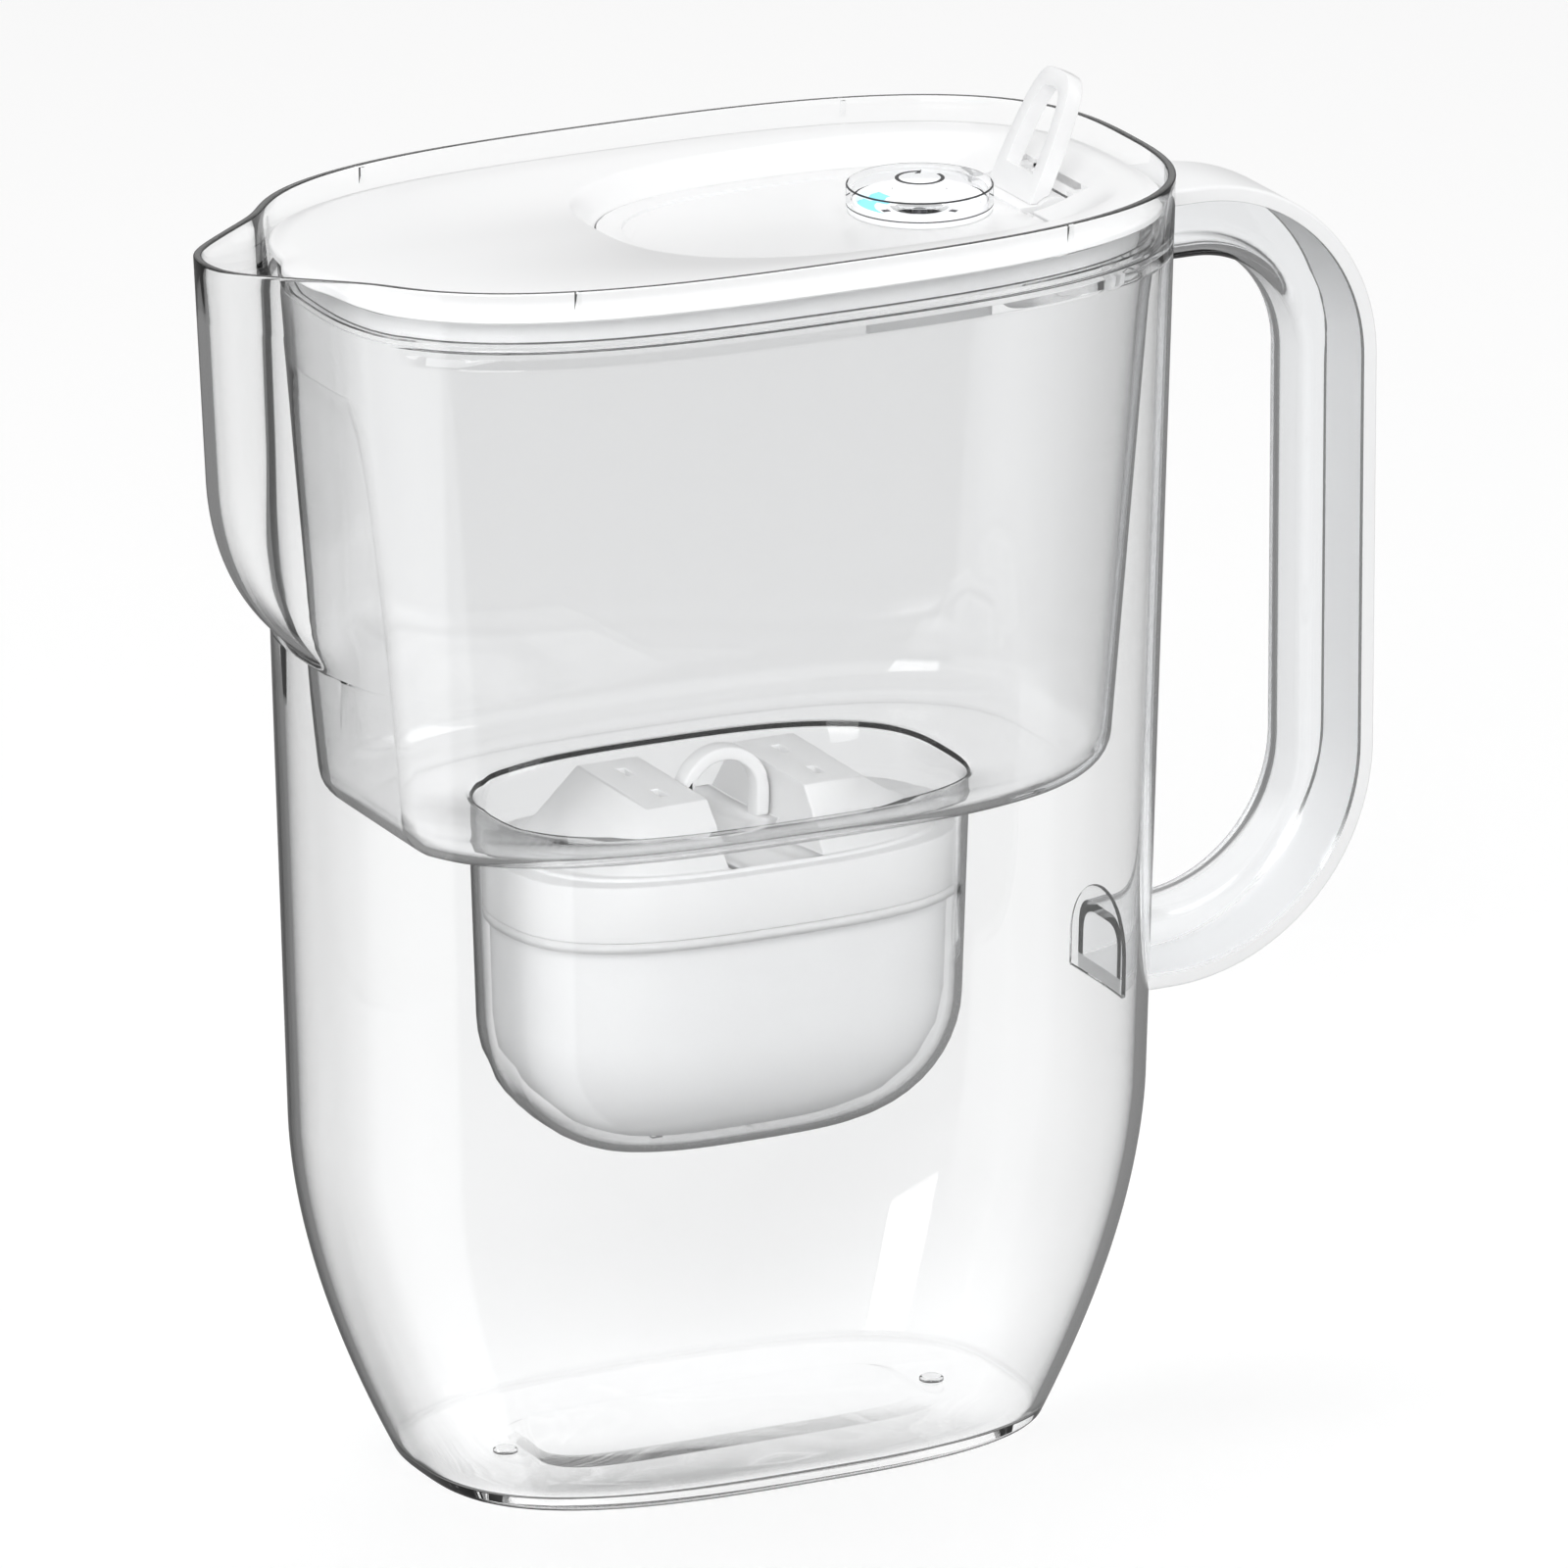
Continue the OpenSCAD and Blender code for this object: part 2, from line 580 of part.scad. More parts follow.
// A hump from a round foot inside the collar's outline up to its flat top
module hump_shape(side) {
    foot_out = cart_a - foot_end;
    foot_in = hump_x - hump_top_l / 2 - 0.2;
    foot = [for (p = plain_ring(0, cart_a - foot_end, cart_b - foot_side)) if (p[0] > foot_in) [p[0], p[1]]];
    foot_y = oval_y(foot_in, cart_a - foot_end, cart_b - foot_side);
    mirror([side > 0 ? 0 : 1, 0, 0]) hull() {
        translate([hump_x - hump_top_l / 2, -hump_top_w / 2, hump_z - 0.5])
            cube([hump_top_l, hump_top_w, 0.5]);
        translate([0, 0, band_top]) linear_extrude(0.5)
            polygon(concat(back([for (p = foot) if (p[1] > 0) p]), [[foot_in, foot_y], [foot_in, -foot_y]],
                back([for (p = foot) if (p[1] <= 0) p])));
    }
}

module cartridge_cap() {
    slot = [1.8, 5, 3];
    color([0.97, 0.97, 0.97]) difference() {
        union() {
            translate([0, 0, collar_z]) linear_extrude(band_h)
                polygon([for (p = plain_ring(0, cart_a, cart_b)) [p[0], p[1]]]);
            translate([0, 0, band_top - eps]) linear_extrude(1)
                polygon([for (p = plain_ring(0, cart_a - 5, cart_b - 3)) [p[0], p[1]]]);
            hump_shape(1);
            hump_shape(-1);
        }
        translate([0, 0, collar_z - 1]) linear_extrude(band_h - cartridge_wall + 1)
            polygon([for (p = plain_ring(0, cart_a - cartridge_wall, cart_b - cartridge_wall)) [p[0], p[1]]]);
        for (sx = [-1, 1], sy = [-1, 1])
            translate([sx * hump_x - slot[0] / 2, sy * 8 - slot[1] / 2, hump_z - slot[2] + 1]) cube(slot);
    }
}

// The arched pull loop that bridges the two humps
module cartridge_loop() {
    outer = hump_x - hump_top_l / 2 - 0.8;
    inner = outer - loop_t;
    leg_z = band_top + 1.1;
    arch_z = hump_z + loop_h - outer;
    color([0.97, 0.97, 0.97])
        translate([0, loop_w / 2, 0]) rotate([90, 0, 0]) linear_extrude(loop_w)
            polygon(concat([[outer, leg_z]], half_turn(outer, arch_z), [[-outer, leg_z], [-inner, leg_z]],
                back(half_turn(inner, arch_z)), [[inner, leg_z]]));
}

// Points of a half circle over a height, from right to left
function half_turn(r, z) = [for (t = [0 : 10 : 180]) [r * cos(t), z + r * sin(t)]];

module cartridge_shell() {
    slit_w = 1.6;
    slit_l = 12;
    rim_z = band_top - cartridge_wall - 0.3;
    color([0.93, 0.94, 0.94, 0.8]) difference() {
        skin(concat(back(shell_rings(0, 0)),
            [plain_ring(collar_z - 0.3, shell_a, shell_b), plain_ring(rim_z, shell_a - 0.8, shell_b - 0.8),
                plain_ring(rim_z, shell_a - 2.2, shell_b - 2.2),
                plain_ring(collar_z - 0.3, shell_a - 2.2, shell_b - 2.2)],
            shell_rings(cartridge_wall, cartridge_wall)));
        for (i = [-2 : 2])
            translate([i * drain_pitch - slit_w / 2, -slit_l / 2, cup_z + cup_wall + shell_gap - 1])
                cube([slit_w, slit_l, cartridge_wall + 2]);
    }
}

// Soft lip round the cartridge that seals it in the cup
module cartridge_seal() {
    seal_t = 2;
    color([0.9, 0.9, 0.9])
        translate([0, 0, collar_z - seal_t - 0.1]) linear_extrude(seal_t) difference() {
            polygon([for (p = plain_ring(0, cart_a, cart_b)) [p[0], p[1]]]);
            polygon([for (p = plain_ring(0, shell_a + 0.1, shell_b + 0.1)) [p[0], p[1]]]);
        }
}

media_top = band_top - media_drop;
media_in = cartridge_wall + 1.1;
media_lift = cartridge_wall + screen_t + 0.4;
media_low = cup_z + cup_wall + shell_gap + media_lift;
// Half sizes of the flat bottom inside the shell
bottom_a = shell_at(media_low, shell_a) - cup_r_l + cup_wall;
bottom_b = shell_at(media_low, shell_b) - cup_r_w + cup_wall;

module screen(z, a, b) {
    color([0.85, 0.86, 0.87])
        translate([0, 0, z]) linear_extrude(screen_t)
            polygon([for (p = plain_ring(0, a, b)) [p[0], p[1]]]);
}

module upper_screen() {
    screen(media_top + 0.1, shell_a - media_in, shell_b - media_in);
}

module filter_media() {
    color([0.25, 0.25, 0.26])
        skin(concat(back(shell_rings(media_in, media_lift)),
            [plain_ring(media_top, shell_a - media_in, shell_b - media_in)]));
}

module lower_screen() {
    screen(media_low - screen_t - 0.1, bottom_a, bottom_b);
}

// ---- Lid ----
lid_z = funnel_top + lid_seat_gap;
lid_edge_z = lid_z + lid_t;
lid_top = lid_edge_z + lid_rise;
lid_a = jug_a(lid_z) - rim_wall - lid_gap;
lid_b = jug_b(lid_z) - rim_wall - lid_gap;
dish_l = 2 * (lid_a - dish_end - dish_x);
dish_w = 2 * (lid_b - dish_side);
flap_x = dish_x - flap_shift;
flap_l = dish_l - 2 * slope_l;
flap_w = dish_w - 2 * slope_w;
flap_top = lid_top - flap_drop;
hinge_z = flap_top - hinge_drop;
skirt_a = funnel_a(lip_z + lip_t) - funnel_wall - skirt_gap;
skirt_b = funnel_b(lip_z + lip_t) - funnel_wall - skirt_gap;
ledge_top = flap_top - flap_t - 0.3;

function lid_ring(z, inset) = let (apex = lid_tip + spout_apex - spout_tip - 1.5 * inset)
    [for (t = angles) spot(t, nosed(t, lid_a - inset, lid_b - inset, lid_tip - inset, apex), z)];
function dish_ring(z, grow) = oval_ring(z, dish_l / 2 + grow, dish_w / 2 + grow, dish_x, dish_n);
// The flap's outline, cut off straight at its heel
panel_end = hinge_x - 8;
function flap_ring(z, grow, heel) =
    [for (p = oval_ring(z, flap_l / 2 + grow, flap_w / 2 + grow, flap_x, dish_n)) [min(p[0], heel), p[1], z]];
heel_x = panel_end + heel_gap;
lug_y = barrel_l / 2 + 0.3;
lug_r = 3.4;

module lid_plate() {
    notch_w = 2 * (lug_y + lug_t) - 1.2;
    heel_low = hinge_z + 0.8;
    heel_top = hinge_z + 6.5;
    heel_l = skirt_a - skirt_t / 2 - hinge_x - barrel_r / 2;
    web_top = hinge_z + 3.5;
    color([0.98, 0.98, 0.98]) {
        difference() {
            skin([
                oval_ring(lid_z - skirt_h, skirt_a, skirt_b),
                oval_ring(lid_z, skirt_a, skirt_b),
                lid_ring(lid_z, 0),
                lid_ring(lid_edge_z - 0.4, 0),
                lid_ring(lid_edge_z, 0.5),
                lid_ring(lid_top, 5),
                dish_ring(lid_top, 0),
                dish_ring(lid_top - 0.8, -1.2),
                flap_ring(flap_top, flap_gap, heel_x),
                flap_ring(ledge_top, flap_gap, heel_x),
                flap_ring(ledge_top, -flap_ledge, heel_x - flap_ledge),
                flap_ring(ledge_top - 1.4, -flap_ledge, heel_x - flap_ledge),
                flap_ring(ledge_top - 1.4, flap_gap + 1, heel_x + 1),
                dish_ring(lid_top - lid_t - 0.8, 1),
                oval_ring(lid_z - 0.2, skirt_a - skirt_t, skirt_b - skirt_t),
                oval_ring(lid_z - skirt_h, skirt_a - skirt_t, skirt_b - skirt_t)], loop = true);
            translate([heel_x - flap_ledge - 1, -notch_w / 2, hinge_z - 10])
                cube([barrel_r + barrel_gap + hinge_x - heel_x + flap_ledge + 1, notch_w, 30]);
            thumb_slope();
        }
        difference() {
            translate([hinge_x + barrel_r / 2, -lug_y - lug_t, heel_low])
                cube([heel_l, 2 * (lug_y + lug_t), heel_top - heel_low]);
            thumb_slope();
            translate([hinge_x, lug_y, hinge_z]) rotate([90, 0, 0])
                cylinder(r = barrel_r + barrel_gap, h = 2 * lug_y);
        }
        for (s = [-1, 1]) hinge_lug(s);
        translate([hinge_x + barrel_r + barrel_gap, -lug_y - lug_t, hinge_z - lug_r])
            cube([1.6, 2 * (lug_y + lug_t), web_top - hinge_z + lug_r]);
    }
}

// Space that the thumb loop sweeps when the flap is open, with its gap
module thumb_slope() {
    w = thumb_w + 2;
    translate([hinge_x, 0, hinge_z]) rotate([0, thumb_lean + flap_open, 0])
        translate([thumb_t / 2 - thumb_off + slope_gap - thumb_l, -w / 2, 0]) cube([thumb_l, w, thumb_l]);
}

// Lug at each end of the barrel
module hinge_lug(side) {
    y = side > 0 ? lug_y : -lug_y - lug_t;
    difference() {
        union() {
            translate([hinge_x, y + lug_t, hinge_z]) rotate([90, 0, 0])
                cylinder(r = lug_r, h = lug_t, $fn = 48);
            translate([hinge_x, y, hinge_z - lug_r])
                cube([barrel_r + barrel_gap + 1.5, lug_t, flap_top - hinge_z + lug_r]);
        }
        translate([hinge_x, y + lug_t + 1, hinge_z]) rotate([90, 0, 0])
            cylinder(r = pin_r + 0.02, h = lug_t + 2, $fn = 48);
    }
}

// U-shaped ears under the lid that hold it in the funnel
module lid_latches() {
    ear_t = 1.6;
    slot_w = 1.8;
    // Rough radius of the skirt's corner, which the flat ear has to clear
    curve_r = 30;
    ear_gap = 0.4;
    top = lid_z - 0.5;
    wall_a = skirt_a - skirt_t;
    wall_b = skirt_b - skirt_t;
    tilt = oval_tilt(ear_x, wall_a, wall_b);
    ear_y = oval_y(ear_x, wall_a, wall_b);
    in = ear_gap + ear_t / 2 + pow(ear_w / 2, 2) / curve_r;
    reach = skirt_h + ear_h;
    color([0.98, 0.98, 0.98])
        for (s = [-1, 1])
            translate([ear_x - in * sin(tilt), s * (ear_y - in * cos(tilt)), top - reach])
                rotate([90, 0, -s * tilt])
                translate([0, 0, -ear_t / 2]) linear_extrude(ear_t) difference() {
                    union() {
                        translate([0, ear_w / 2]) circle(ear_w / 2);
                        translate([-ear_w / 2, ear_w / 2]) square([ear_w, reach - ear_w / 2]);
                    }
                    translate([-slot_w / 2, ear_w / 2]) square([slot_w, 7]);
                }
}

module hinge_pin() {
    pin_l = 2 * (lug_y + lug_t);
    color([0.8, 0.81, 0.82])
        translate([hinge_x, pin_l / 2, hinge_z]) rotate([90, 0, 0]) cylinder(r = pin_r, h = pin_l, $fn = 48);
}

// ---- Flap ----
tray_z = flap_top - tray_t;

module flap_panel() {
    seat_r = lens_r + 0.4;
    color([0.98, 0.98, 0.98]) difference() {
        union() {
            difference() {
                translate([0, 0, flap_top - flap_t]) linear_extrude(flap_t)
                    polygon([for (p = flap_ring(0, 0, panel_end)) [p[0], p[1]]]);
                translate([0, 0, tray_z]) linear_extrude(flap_t)
                    polygon([for (p = flap_ring(0, -tray_edge, panel_end)) [p[0], p[1]]]);
                translate([ind_x, 0, tray_z]) cylinder(r = seat_r, h = flap_t);
                translate([ind_x, 0, flap_top - flap_t - 1]) cylinder(r = housing_r + 0.1, h = flap_t + 2);
            }
            translate([panel_end - 0.5, -barrel_l / 2, flap_top - flap_t])
                cube([hinge_x - panel_end + 0.5, barrel_l, flap_t]);
            translate([hinge_x, barrel_l / 2, hinge_z]) rotate([90, 0, 0])
                cylinder(r = barrel_r, h = barrel_l);
        }
        translate([hinge_x, barrel_l, hinge_z]) rotate([90, 0, 0])
            cylinder(r = pin_r + pin_gap, h = 2 * barrel_l, $fn = 48);
    }
}

// A rounded arch in the plane of the thumb loop
function arch(half, foot, height) = [for (t = [0 : 6 : 180])
    [sign(cos(t)) * half * pow(abs(cos(t)), 2 / thumb_n), foot + (height - foot) * pow(sin(t), 2 / tip_n)]];

module thumb_lever() {
    color([0.96, 0.96, 0.96]) difference() {
        translate([hinge_x, 0, hinge_z]) rotate([0, thumb_lean, 0]) translate([-thumb_off, 0, 0])
            rotate([90, 0, 90]) translate([0, 0, -thumb_t / 2]) linear_extrude(thumb_t) difference() {
                polygon(arch(thumb_w / 2, 0.5, thumb_l));
                polygon(arch(thumb_w / 2 - thumb_bar, barrel_r + 2, thumb_l - thumb_bar));
            }
        translate([hinge_x, barrel_l, hinge_z]) rotate([90, 0, 0])
            cylinder(r = barrel_r + 0.1, h = 2 * barrel_l);
        translate([0, -barrel_l, 0]) cube([hinge_x, 2 * barrel_l, flap_top + 0.1]);
    }
}

// ---- Indicator ----
base_z = tray_z;
flange_z = base_z + flange_t;
dial_z = flange_z + dial_t;
lens_low = dial_z + press + 0.1;
lens_top = base_z + lens_h;
housing_low = base_z - housing_h;
cover_z = housing_low;
board_z = base_z - 3.9;
cell_z = cover_z + 1.7;
hub_r = pillar_r + 0.5;

module indicator_housing() {
    wall_in = housing_r - housing_wall;
    guide_r = lens_r - lens_wall - 0.3;
    color([0.97, 0.97, 0.97])
        translate([ind_x, 0, 0]) difference() {
            union() {
                translate([0, 0, housing_low]) cylinder(r = housing_r, h = housing_h);
                translate([0, 0, base_z]) cylinder(r = lens_r - 0.2, h = flange_t);
                translate([0, 0, flange_z - eps]) difference() {
                    cylinder(r = guide_r, h = 1.8);
                    translate([0, 0, -1]) cylinder(r = guide_r - 0.6, h = 4);
                }
            }
            translate([0, 0, housing_low - 1]) cylinder(r = wall_in, h = housing_h - 0.7);
            translate([0, 0, housing_low - 1]) cylinder(r = hub_r, h = housing_h + 4);
            led_posts(housing_low - 1, housing_h + 3, 0.15);
        }
}

// The printed ring: a thin annulus under the button
module indicator_dial() {
    color([0.55, 0.83, 0.93])
        translate([ind_x, 0, flange_z]) difference() {
            cylinder(r = lens_r - lens_wall - 1.0, h = dial_t);
            translate([0, 0, -1]) cylinder(r = hub_r, h = dial_t + 2);
            led_posts(-1, dial_t + 2, 0.15);
        }
}

module indicator_board() {
    color([0.1, 0.4, 0.25])
        translate([ind_x, 0, board_z - board_t])
            cylinder(r = housing_r - housing_wall - 0.2, h = board_t);
}

// Two square posts beside the hub, on the spout side and the near side
module led_posts(z, h, grow) {
    half = led_w / 2 + grow;
    for (t = [180, 307]) rotate([0, 0, t]) translate([led_at - half, -half, z]) cube([2 * half, 2 * half, h]);
}

module indicator_leds() {
    color([0.2, 0.2, 0.22])
        translate([ind_x, 0, 0]) led_posts(board_z, dial_z - board_z, 0);
}

module reset_switch() {
    body = 5;
    body_t = 1.8;
    color([0.3, 0.3, 0.32]) {
        translate([ind_x - body / 2, -body / 2, board_z]) cube([body, body, body_t]);
        translate([ind_x, 0, board_z + body_t - eps])
            cylinder(r = 1.5, h = lens_low - press - 0.1 - board_z - body_t, $fn = 32);
    }
}

module coin_cell() {
    color([0.75, 0.76, 0.78])
        translate([ind_x, 0, cell_z]) {
            cylinder(r = cell_r, h = cell_t - 0.4);
            cylinder(r = cell_r - 1, h = cell_t);
        }
}

module battery_cover() {
    color([0.95, 0.95, 0.95])
        translate([ind_x, 0, cover_z]) difference() {
            cylinder(r = housing_r - housing_wall - 0.05, h = 1.5);
            translate([-7, -1, -1]) cube([14, 2, 1.7]);
        }
}

module battery_seal() {
    seal_r = 0.55;
    color([0.2, 0.2, 0.2])
        translate([ind_x, 0, cover_z + 1.55 + seal_r]) rotate_extrude()
            translate([housing_r - housing_wall - 0.05 - seal_r, 0]) circle(seal_r, $fn = 16);
}

// Radius of the sphere that the dome is cut from
dome_r = (lens_r * lens_r + dome_h * dome_h) / (2 * dome_h);

module indicator_button() {
    inner = lens_r - lens_wall;
    dome = [for (i = [0 : 8]) let (r = lens_r * (1 - i / 8))
        [r, lens_top - dome_r + dome_h + sqrt(dome_r * dome_r - r * r)]];
    color([0.93, 0.95, 0.96, 0.35])
        translate([ind_x, 0, 0]) rotate_extrude()
            polygon(concat([[0, lens_low + 0.1], [pillar_r, lens_low + 0.1], [pillar_r, lens_top - lens_wall],
                [inner, lens_top - lens_wall], [inner, lens_low], [lens_r, lens_low]], dome));
}

jug_body();
handle_channel();
handle_cover();
funnel();
cartridge_cap();
cartridge_loop();
cartridge_shell();
cartridge_seal();
upper_screen();
filter_media();
lower_screen();
lid_plate();
lid_latches();
hinge_pin();
flap_panel();
thumb_lever();
indicator_housing();
indicator_dial();
indicator_board();
indicator_leds();
reset_switch();
coin_cell();
battery_cover();
battery_seal();
indicator_button();
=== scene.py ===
"""Looks of a water filter pitcher with a flip lid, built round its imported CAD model.

Sizes in the dataclasses are in millimetres, and meshes are made in metres. +Z is up, the spout points to -X
and the handle to +X. Each class is one sub-assembly: it builds its pieces, dresses them and lets them ride on
a body.
"""

import json
import logging
import math
from dataclasses import dataclass
from enum import Enum
from typing import Iterable, Optional, Sequence

import bmesh
import bpy
from mathutils import Matrix, Vector

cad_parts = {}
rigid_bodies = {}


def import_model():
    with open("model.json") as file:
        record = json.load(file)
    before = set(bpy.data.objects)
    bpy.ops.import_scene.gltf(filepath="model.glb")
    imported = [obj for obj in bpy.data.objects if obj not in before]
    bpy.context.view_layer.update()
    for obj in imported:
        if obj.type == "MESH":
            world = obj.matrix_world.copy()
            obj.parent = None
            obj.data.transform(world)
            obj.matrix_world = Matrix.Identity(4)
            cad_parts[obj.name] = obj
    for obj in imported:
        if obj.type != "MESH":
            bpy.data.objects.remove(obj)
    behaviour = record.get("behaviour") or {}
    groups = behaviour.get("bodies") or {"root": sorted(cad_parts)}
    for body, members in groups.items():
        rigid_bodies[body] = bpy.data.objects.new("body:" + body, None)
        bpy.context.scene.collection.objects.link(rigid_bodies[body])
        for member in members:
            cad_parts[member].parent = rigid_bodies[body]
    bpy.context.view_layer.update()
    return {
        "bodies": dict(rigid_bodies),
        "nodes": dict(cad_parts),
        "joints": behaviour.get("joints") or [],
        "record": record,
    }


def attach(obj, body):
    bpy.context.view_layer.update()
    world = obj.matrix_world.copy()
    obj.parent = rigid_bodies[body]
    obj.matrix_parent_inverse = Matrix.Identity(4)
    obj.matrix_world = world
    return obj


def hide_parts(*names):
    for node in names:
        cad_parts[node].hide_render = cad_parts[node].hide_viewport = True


LOG = logging.getLogger("pitcher")
MM = 0.001
SHARP = 30.0
MERGE_DISTANCE = 1e-7
WELD_DISTANCE = 1e-5
BEVEL_STEPS = 3
WHITE = (1.0, 1.0, 1.0, 1.0)

Point = tuple[float, float, float]
Flat = tuple[float, float]
Ring = list[Point]
Colour = tuple[float, float, float]
Frame = dict[str, object]


# -------------------------------------------------------------------------------------------- finishes


class Grain(Enum):
    """How a plastic's surface comes out of its mould."""

    POLISHED = (240.0, 0.010)
    SATIN = (900.0, 0.045)
    MATT = (1400.0, 0.090)

    @property
    def scale(self) -> float:
        """Noise scale of the grain, per metre."""
        return self.value[0]

    @property
    def depth(self) -> float:
        """Strength of the grain's bump."""
        return self.value[1]


class Nodes:
    """A short way to write one material's nodes."""

    def __init__(self, name: str, world_tree: Optional[bpy.types.NodeTree] = None) -> None:
        """Makes an empty node material, or empties a world's nodes.

        Args:
            name: The material's name.
            world_tree: The world's nodes, for a world.
        """
        self.material = None
        self.tree = world_tree
        if world_tree is None:
            self.material = bpy.data.materials.new(name)
            self.material.use_nodes = True
            self.tree = self.material.node_tree
        self.tree.nodes.clear()
        self.output = self.tree.nodes.new("ShaderNodeOutput" + ("World" if world_tree else "Material"))

    def add(self, kind: str, **values: object) -> bpy.types.Node:
        """Adds a node and sets its attributes.

        Args:
            kind: The node's type, without the ShaderNode prefix.
            **values: Attributes to set on the node.

        Returns:
            The new node.
        """
        node = self.tree.nodes.new("ShaderNode" + kind)
        for key, value in values.items():
            setattr(node, key, value)
        return node

    def link(self, source: bpy.types.NodeSocket, target: bpy.types.NodeSocket) -> None:
        """Joins two sockets."""
        self.tree.links.new(source, target)

    def noise(self, scale: float, detail: float,
              stretch: Point = (1.0, 1.0, 1.0)) -> bpy.types.NodeSocket:
        """Noise in the object's own space.

        Args:
            scale: Noise scale, per metre.
            detail: Octaves.
            stretch: Scale of each axis.

        Returns:
            The noise's factor socket.
        """
        place = self.add("TexCoord")
        mapping = self.add("Mapping")
        mapping.inputs["Scale"].default_value = stretch
        noise = self.add("TexNoise")
        noise.inputs["Scale"].default_value = scale
        noise.inputs["Detail"].default_value = detail
        self.link(place.outputs["Object"], mapping.inputs["Vector"])
        self.link(mapping.outputs["Vector"], noise.inputs["Vector"])
        return noise.outputs["Fac"]

    def bump(self, height: bpy.types.NodeSocket, strength: float, distance: float) -> bpy.types.NodeSocket:
        """A bump from a height.

        Args:
            height: The height's socket.
            strength: How strong the bump is.
            distance: Height of the bump in metres.

        Returns:
            The bump's normal socket.
        """
        bump = self.add("Bump")
        bump.inputs["Strength"].default_value = strength
        bump.inputs["Distance"].default_value = distance
        self.link(height, bump.inputs["Height"])
        return bump.outputs["Normal"]

    def ramp(self, source: bpy.types.NodeSocket,
             stops: Sequence[tuple[float, Colour]]) -> bpy.types.NodeSocket:
        """A colour ramp.

        Args:
            source: The factor's socket.
            stops: Places and colours, in order.

        Returns:
            The ramp's colour socket.
        """
        ramp = self.add("ValToRGB")
        elements = ramp.color_ramp.elements
        while len(elements) > len(stops):
            elements.remove(elements[-1])
        while len(elements) < len(stops):
            elements.new(1.0)
        for element, (place, colour) in zip(elements, stops):
            element.position = place
            element.color = (*colour, 1.0)
        self.link(source, ramp.inputs["Fac"])
        return ramp.outputs["Color"]

    def mix(self, factor: bpy.types.NodeSocket, first: bpy.types.NodeSocket,
            second: bpy.types.NodeSocket) -> bpy.types.NodeSocket:
        """Mixes two shaders.

        Args:
            factor: The share of the second shader.
            first: The first shader.
            second: The second shader.

        Returns:
            The mix's shader socket.
        """
        mix = self.add("MixShader")
        for source, target in zip((factor, first, second), mix.inputs):
            self.link(source, target)
        return mix.outputs["Shader"]

    def seen(self) -> bpy.types.NodeSocket:
        """1 for rays that see the background from the camera, in gloss or through clear plastic."""
        path = self.add("LightPath")
        gloss, through = self.add("Math", operation="MAXIMUM"), self.add("Math", operation="MAXIMUM")
        self.link(path.outputs["Is Camera Ray"], gloss.inputs[0])
        self.link(path.outputs["Is Glossy Ray"], gloss.inputs[1])
        self.link(gloss.outputs[0], through.inputs[0])
        self.link(path.outputs["Is Transmission Ray"], through.inputs[1])
        return through.outputs[0]

    def reflected(self) -> bpy.types.NodeSocket:
        """1 for rays that the camera sees mirrored, and 0 for those that light a surface."""
        path = self.add("LightPath")
        mirrored = self.add("Math", operation="GREATER_THAN")
        lighting = self.add("Math", operation="LESS_THAN")
        both = self.add("Math", operation="MULTIPLY")
        mirrored.inputs[1].default_value = lighting.inputs[1].default_value = 0.5
        self.link(path.outputs["Glossy Depth"], mirrored.inputs[0])
        self.link(path.outputs["Diffuse Depth"], lighting.inputs[0])
        self.link(mirrored.outputs[0], both.inputs[0])
        self.link(lighting.outputs[0], both.inputs[1])
        return both.outputs[0]

    def finish(self, shader: bpy.types.NodeSocket) -> Optional[bpy.types.Material]:
        """Joins a shader to the output and returns the material, or None for a world."""
        self.link(shader, self.output.inputs["Surface"])
        return self.material


@dataclass(frozen=True)
class ClearPlastic:
    """Polished clear plastic whose colour darkens towards its edges at grazing view, as painted shade for its
    dark edge lines.
    """

    name: str
    tint: Colour = (0.994, 0.996, 0.997)
    # Colour at grazing view and where it starts: painted shade for the dark edge lines.
    edge: Colour = (0.77, 0.775, 0.785)
    edge_shade_start: float = 0.62
    roughness: float = 0.0
    ior: float = 1.49
    shadow: Colour = (0.988, 0.989, 0.99)
    wave: float = 0.02

    def make(self) -> bpy.types.Material:
        """Returns the material."""
        n = Nodes(self.name)
        facing = n.add("LayerWeight")
        facing.inputs["Blend"].default_value = 0.5
        # The base colour darkens at grazing view: painted shade, not the plastic's own tint.
        colour = n.ramp(
            facing.outputs["Facing"],
            [(0.0, self.tint), (self.edge_shade_start, self.tint), (1.0, self.edge)],
        )
        shader = n.add("BsdfPrincipled")
        shader.inputs["Transmission Weight"].default_value = 1.0
        shader.inputs["IOR"].default_value = self.ior
        shader.inputs["Roughness"].default_value = self.roughness
        n.link(colour, shader.inputs["Base Color"])
        if self.wave:
            n.link(n.bump(n.noise(18.0, 1.0), self.wave, 0.004), shader.inputs["Normal"])
        path = n.add("LightPath")
        clear = n.add("BsdfTransparent")
        clear.inputs["Color"].default_value = (*self.shadow, 1.0)
        return n.finish(n.mix(path.outputs["Is Shadow Ray"], shader.outputs["BSDF"], clear.outputs["BSDF"]))


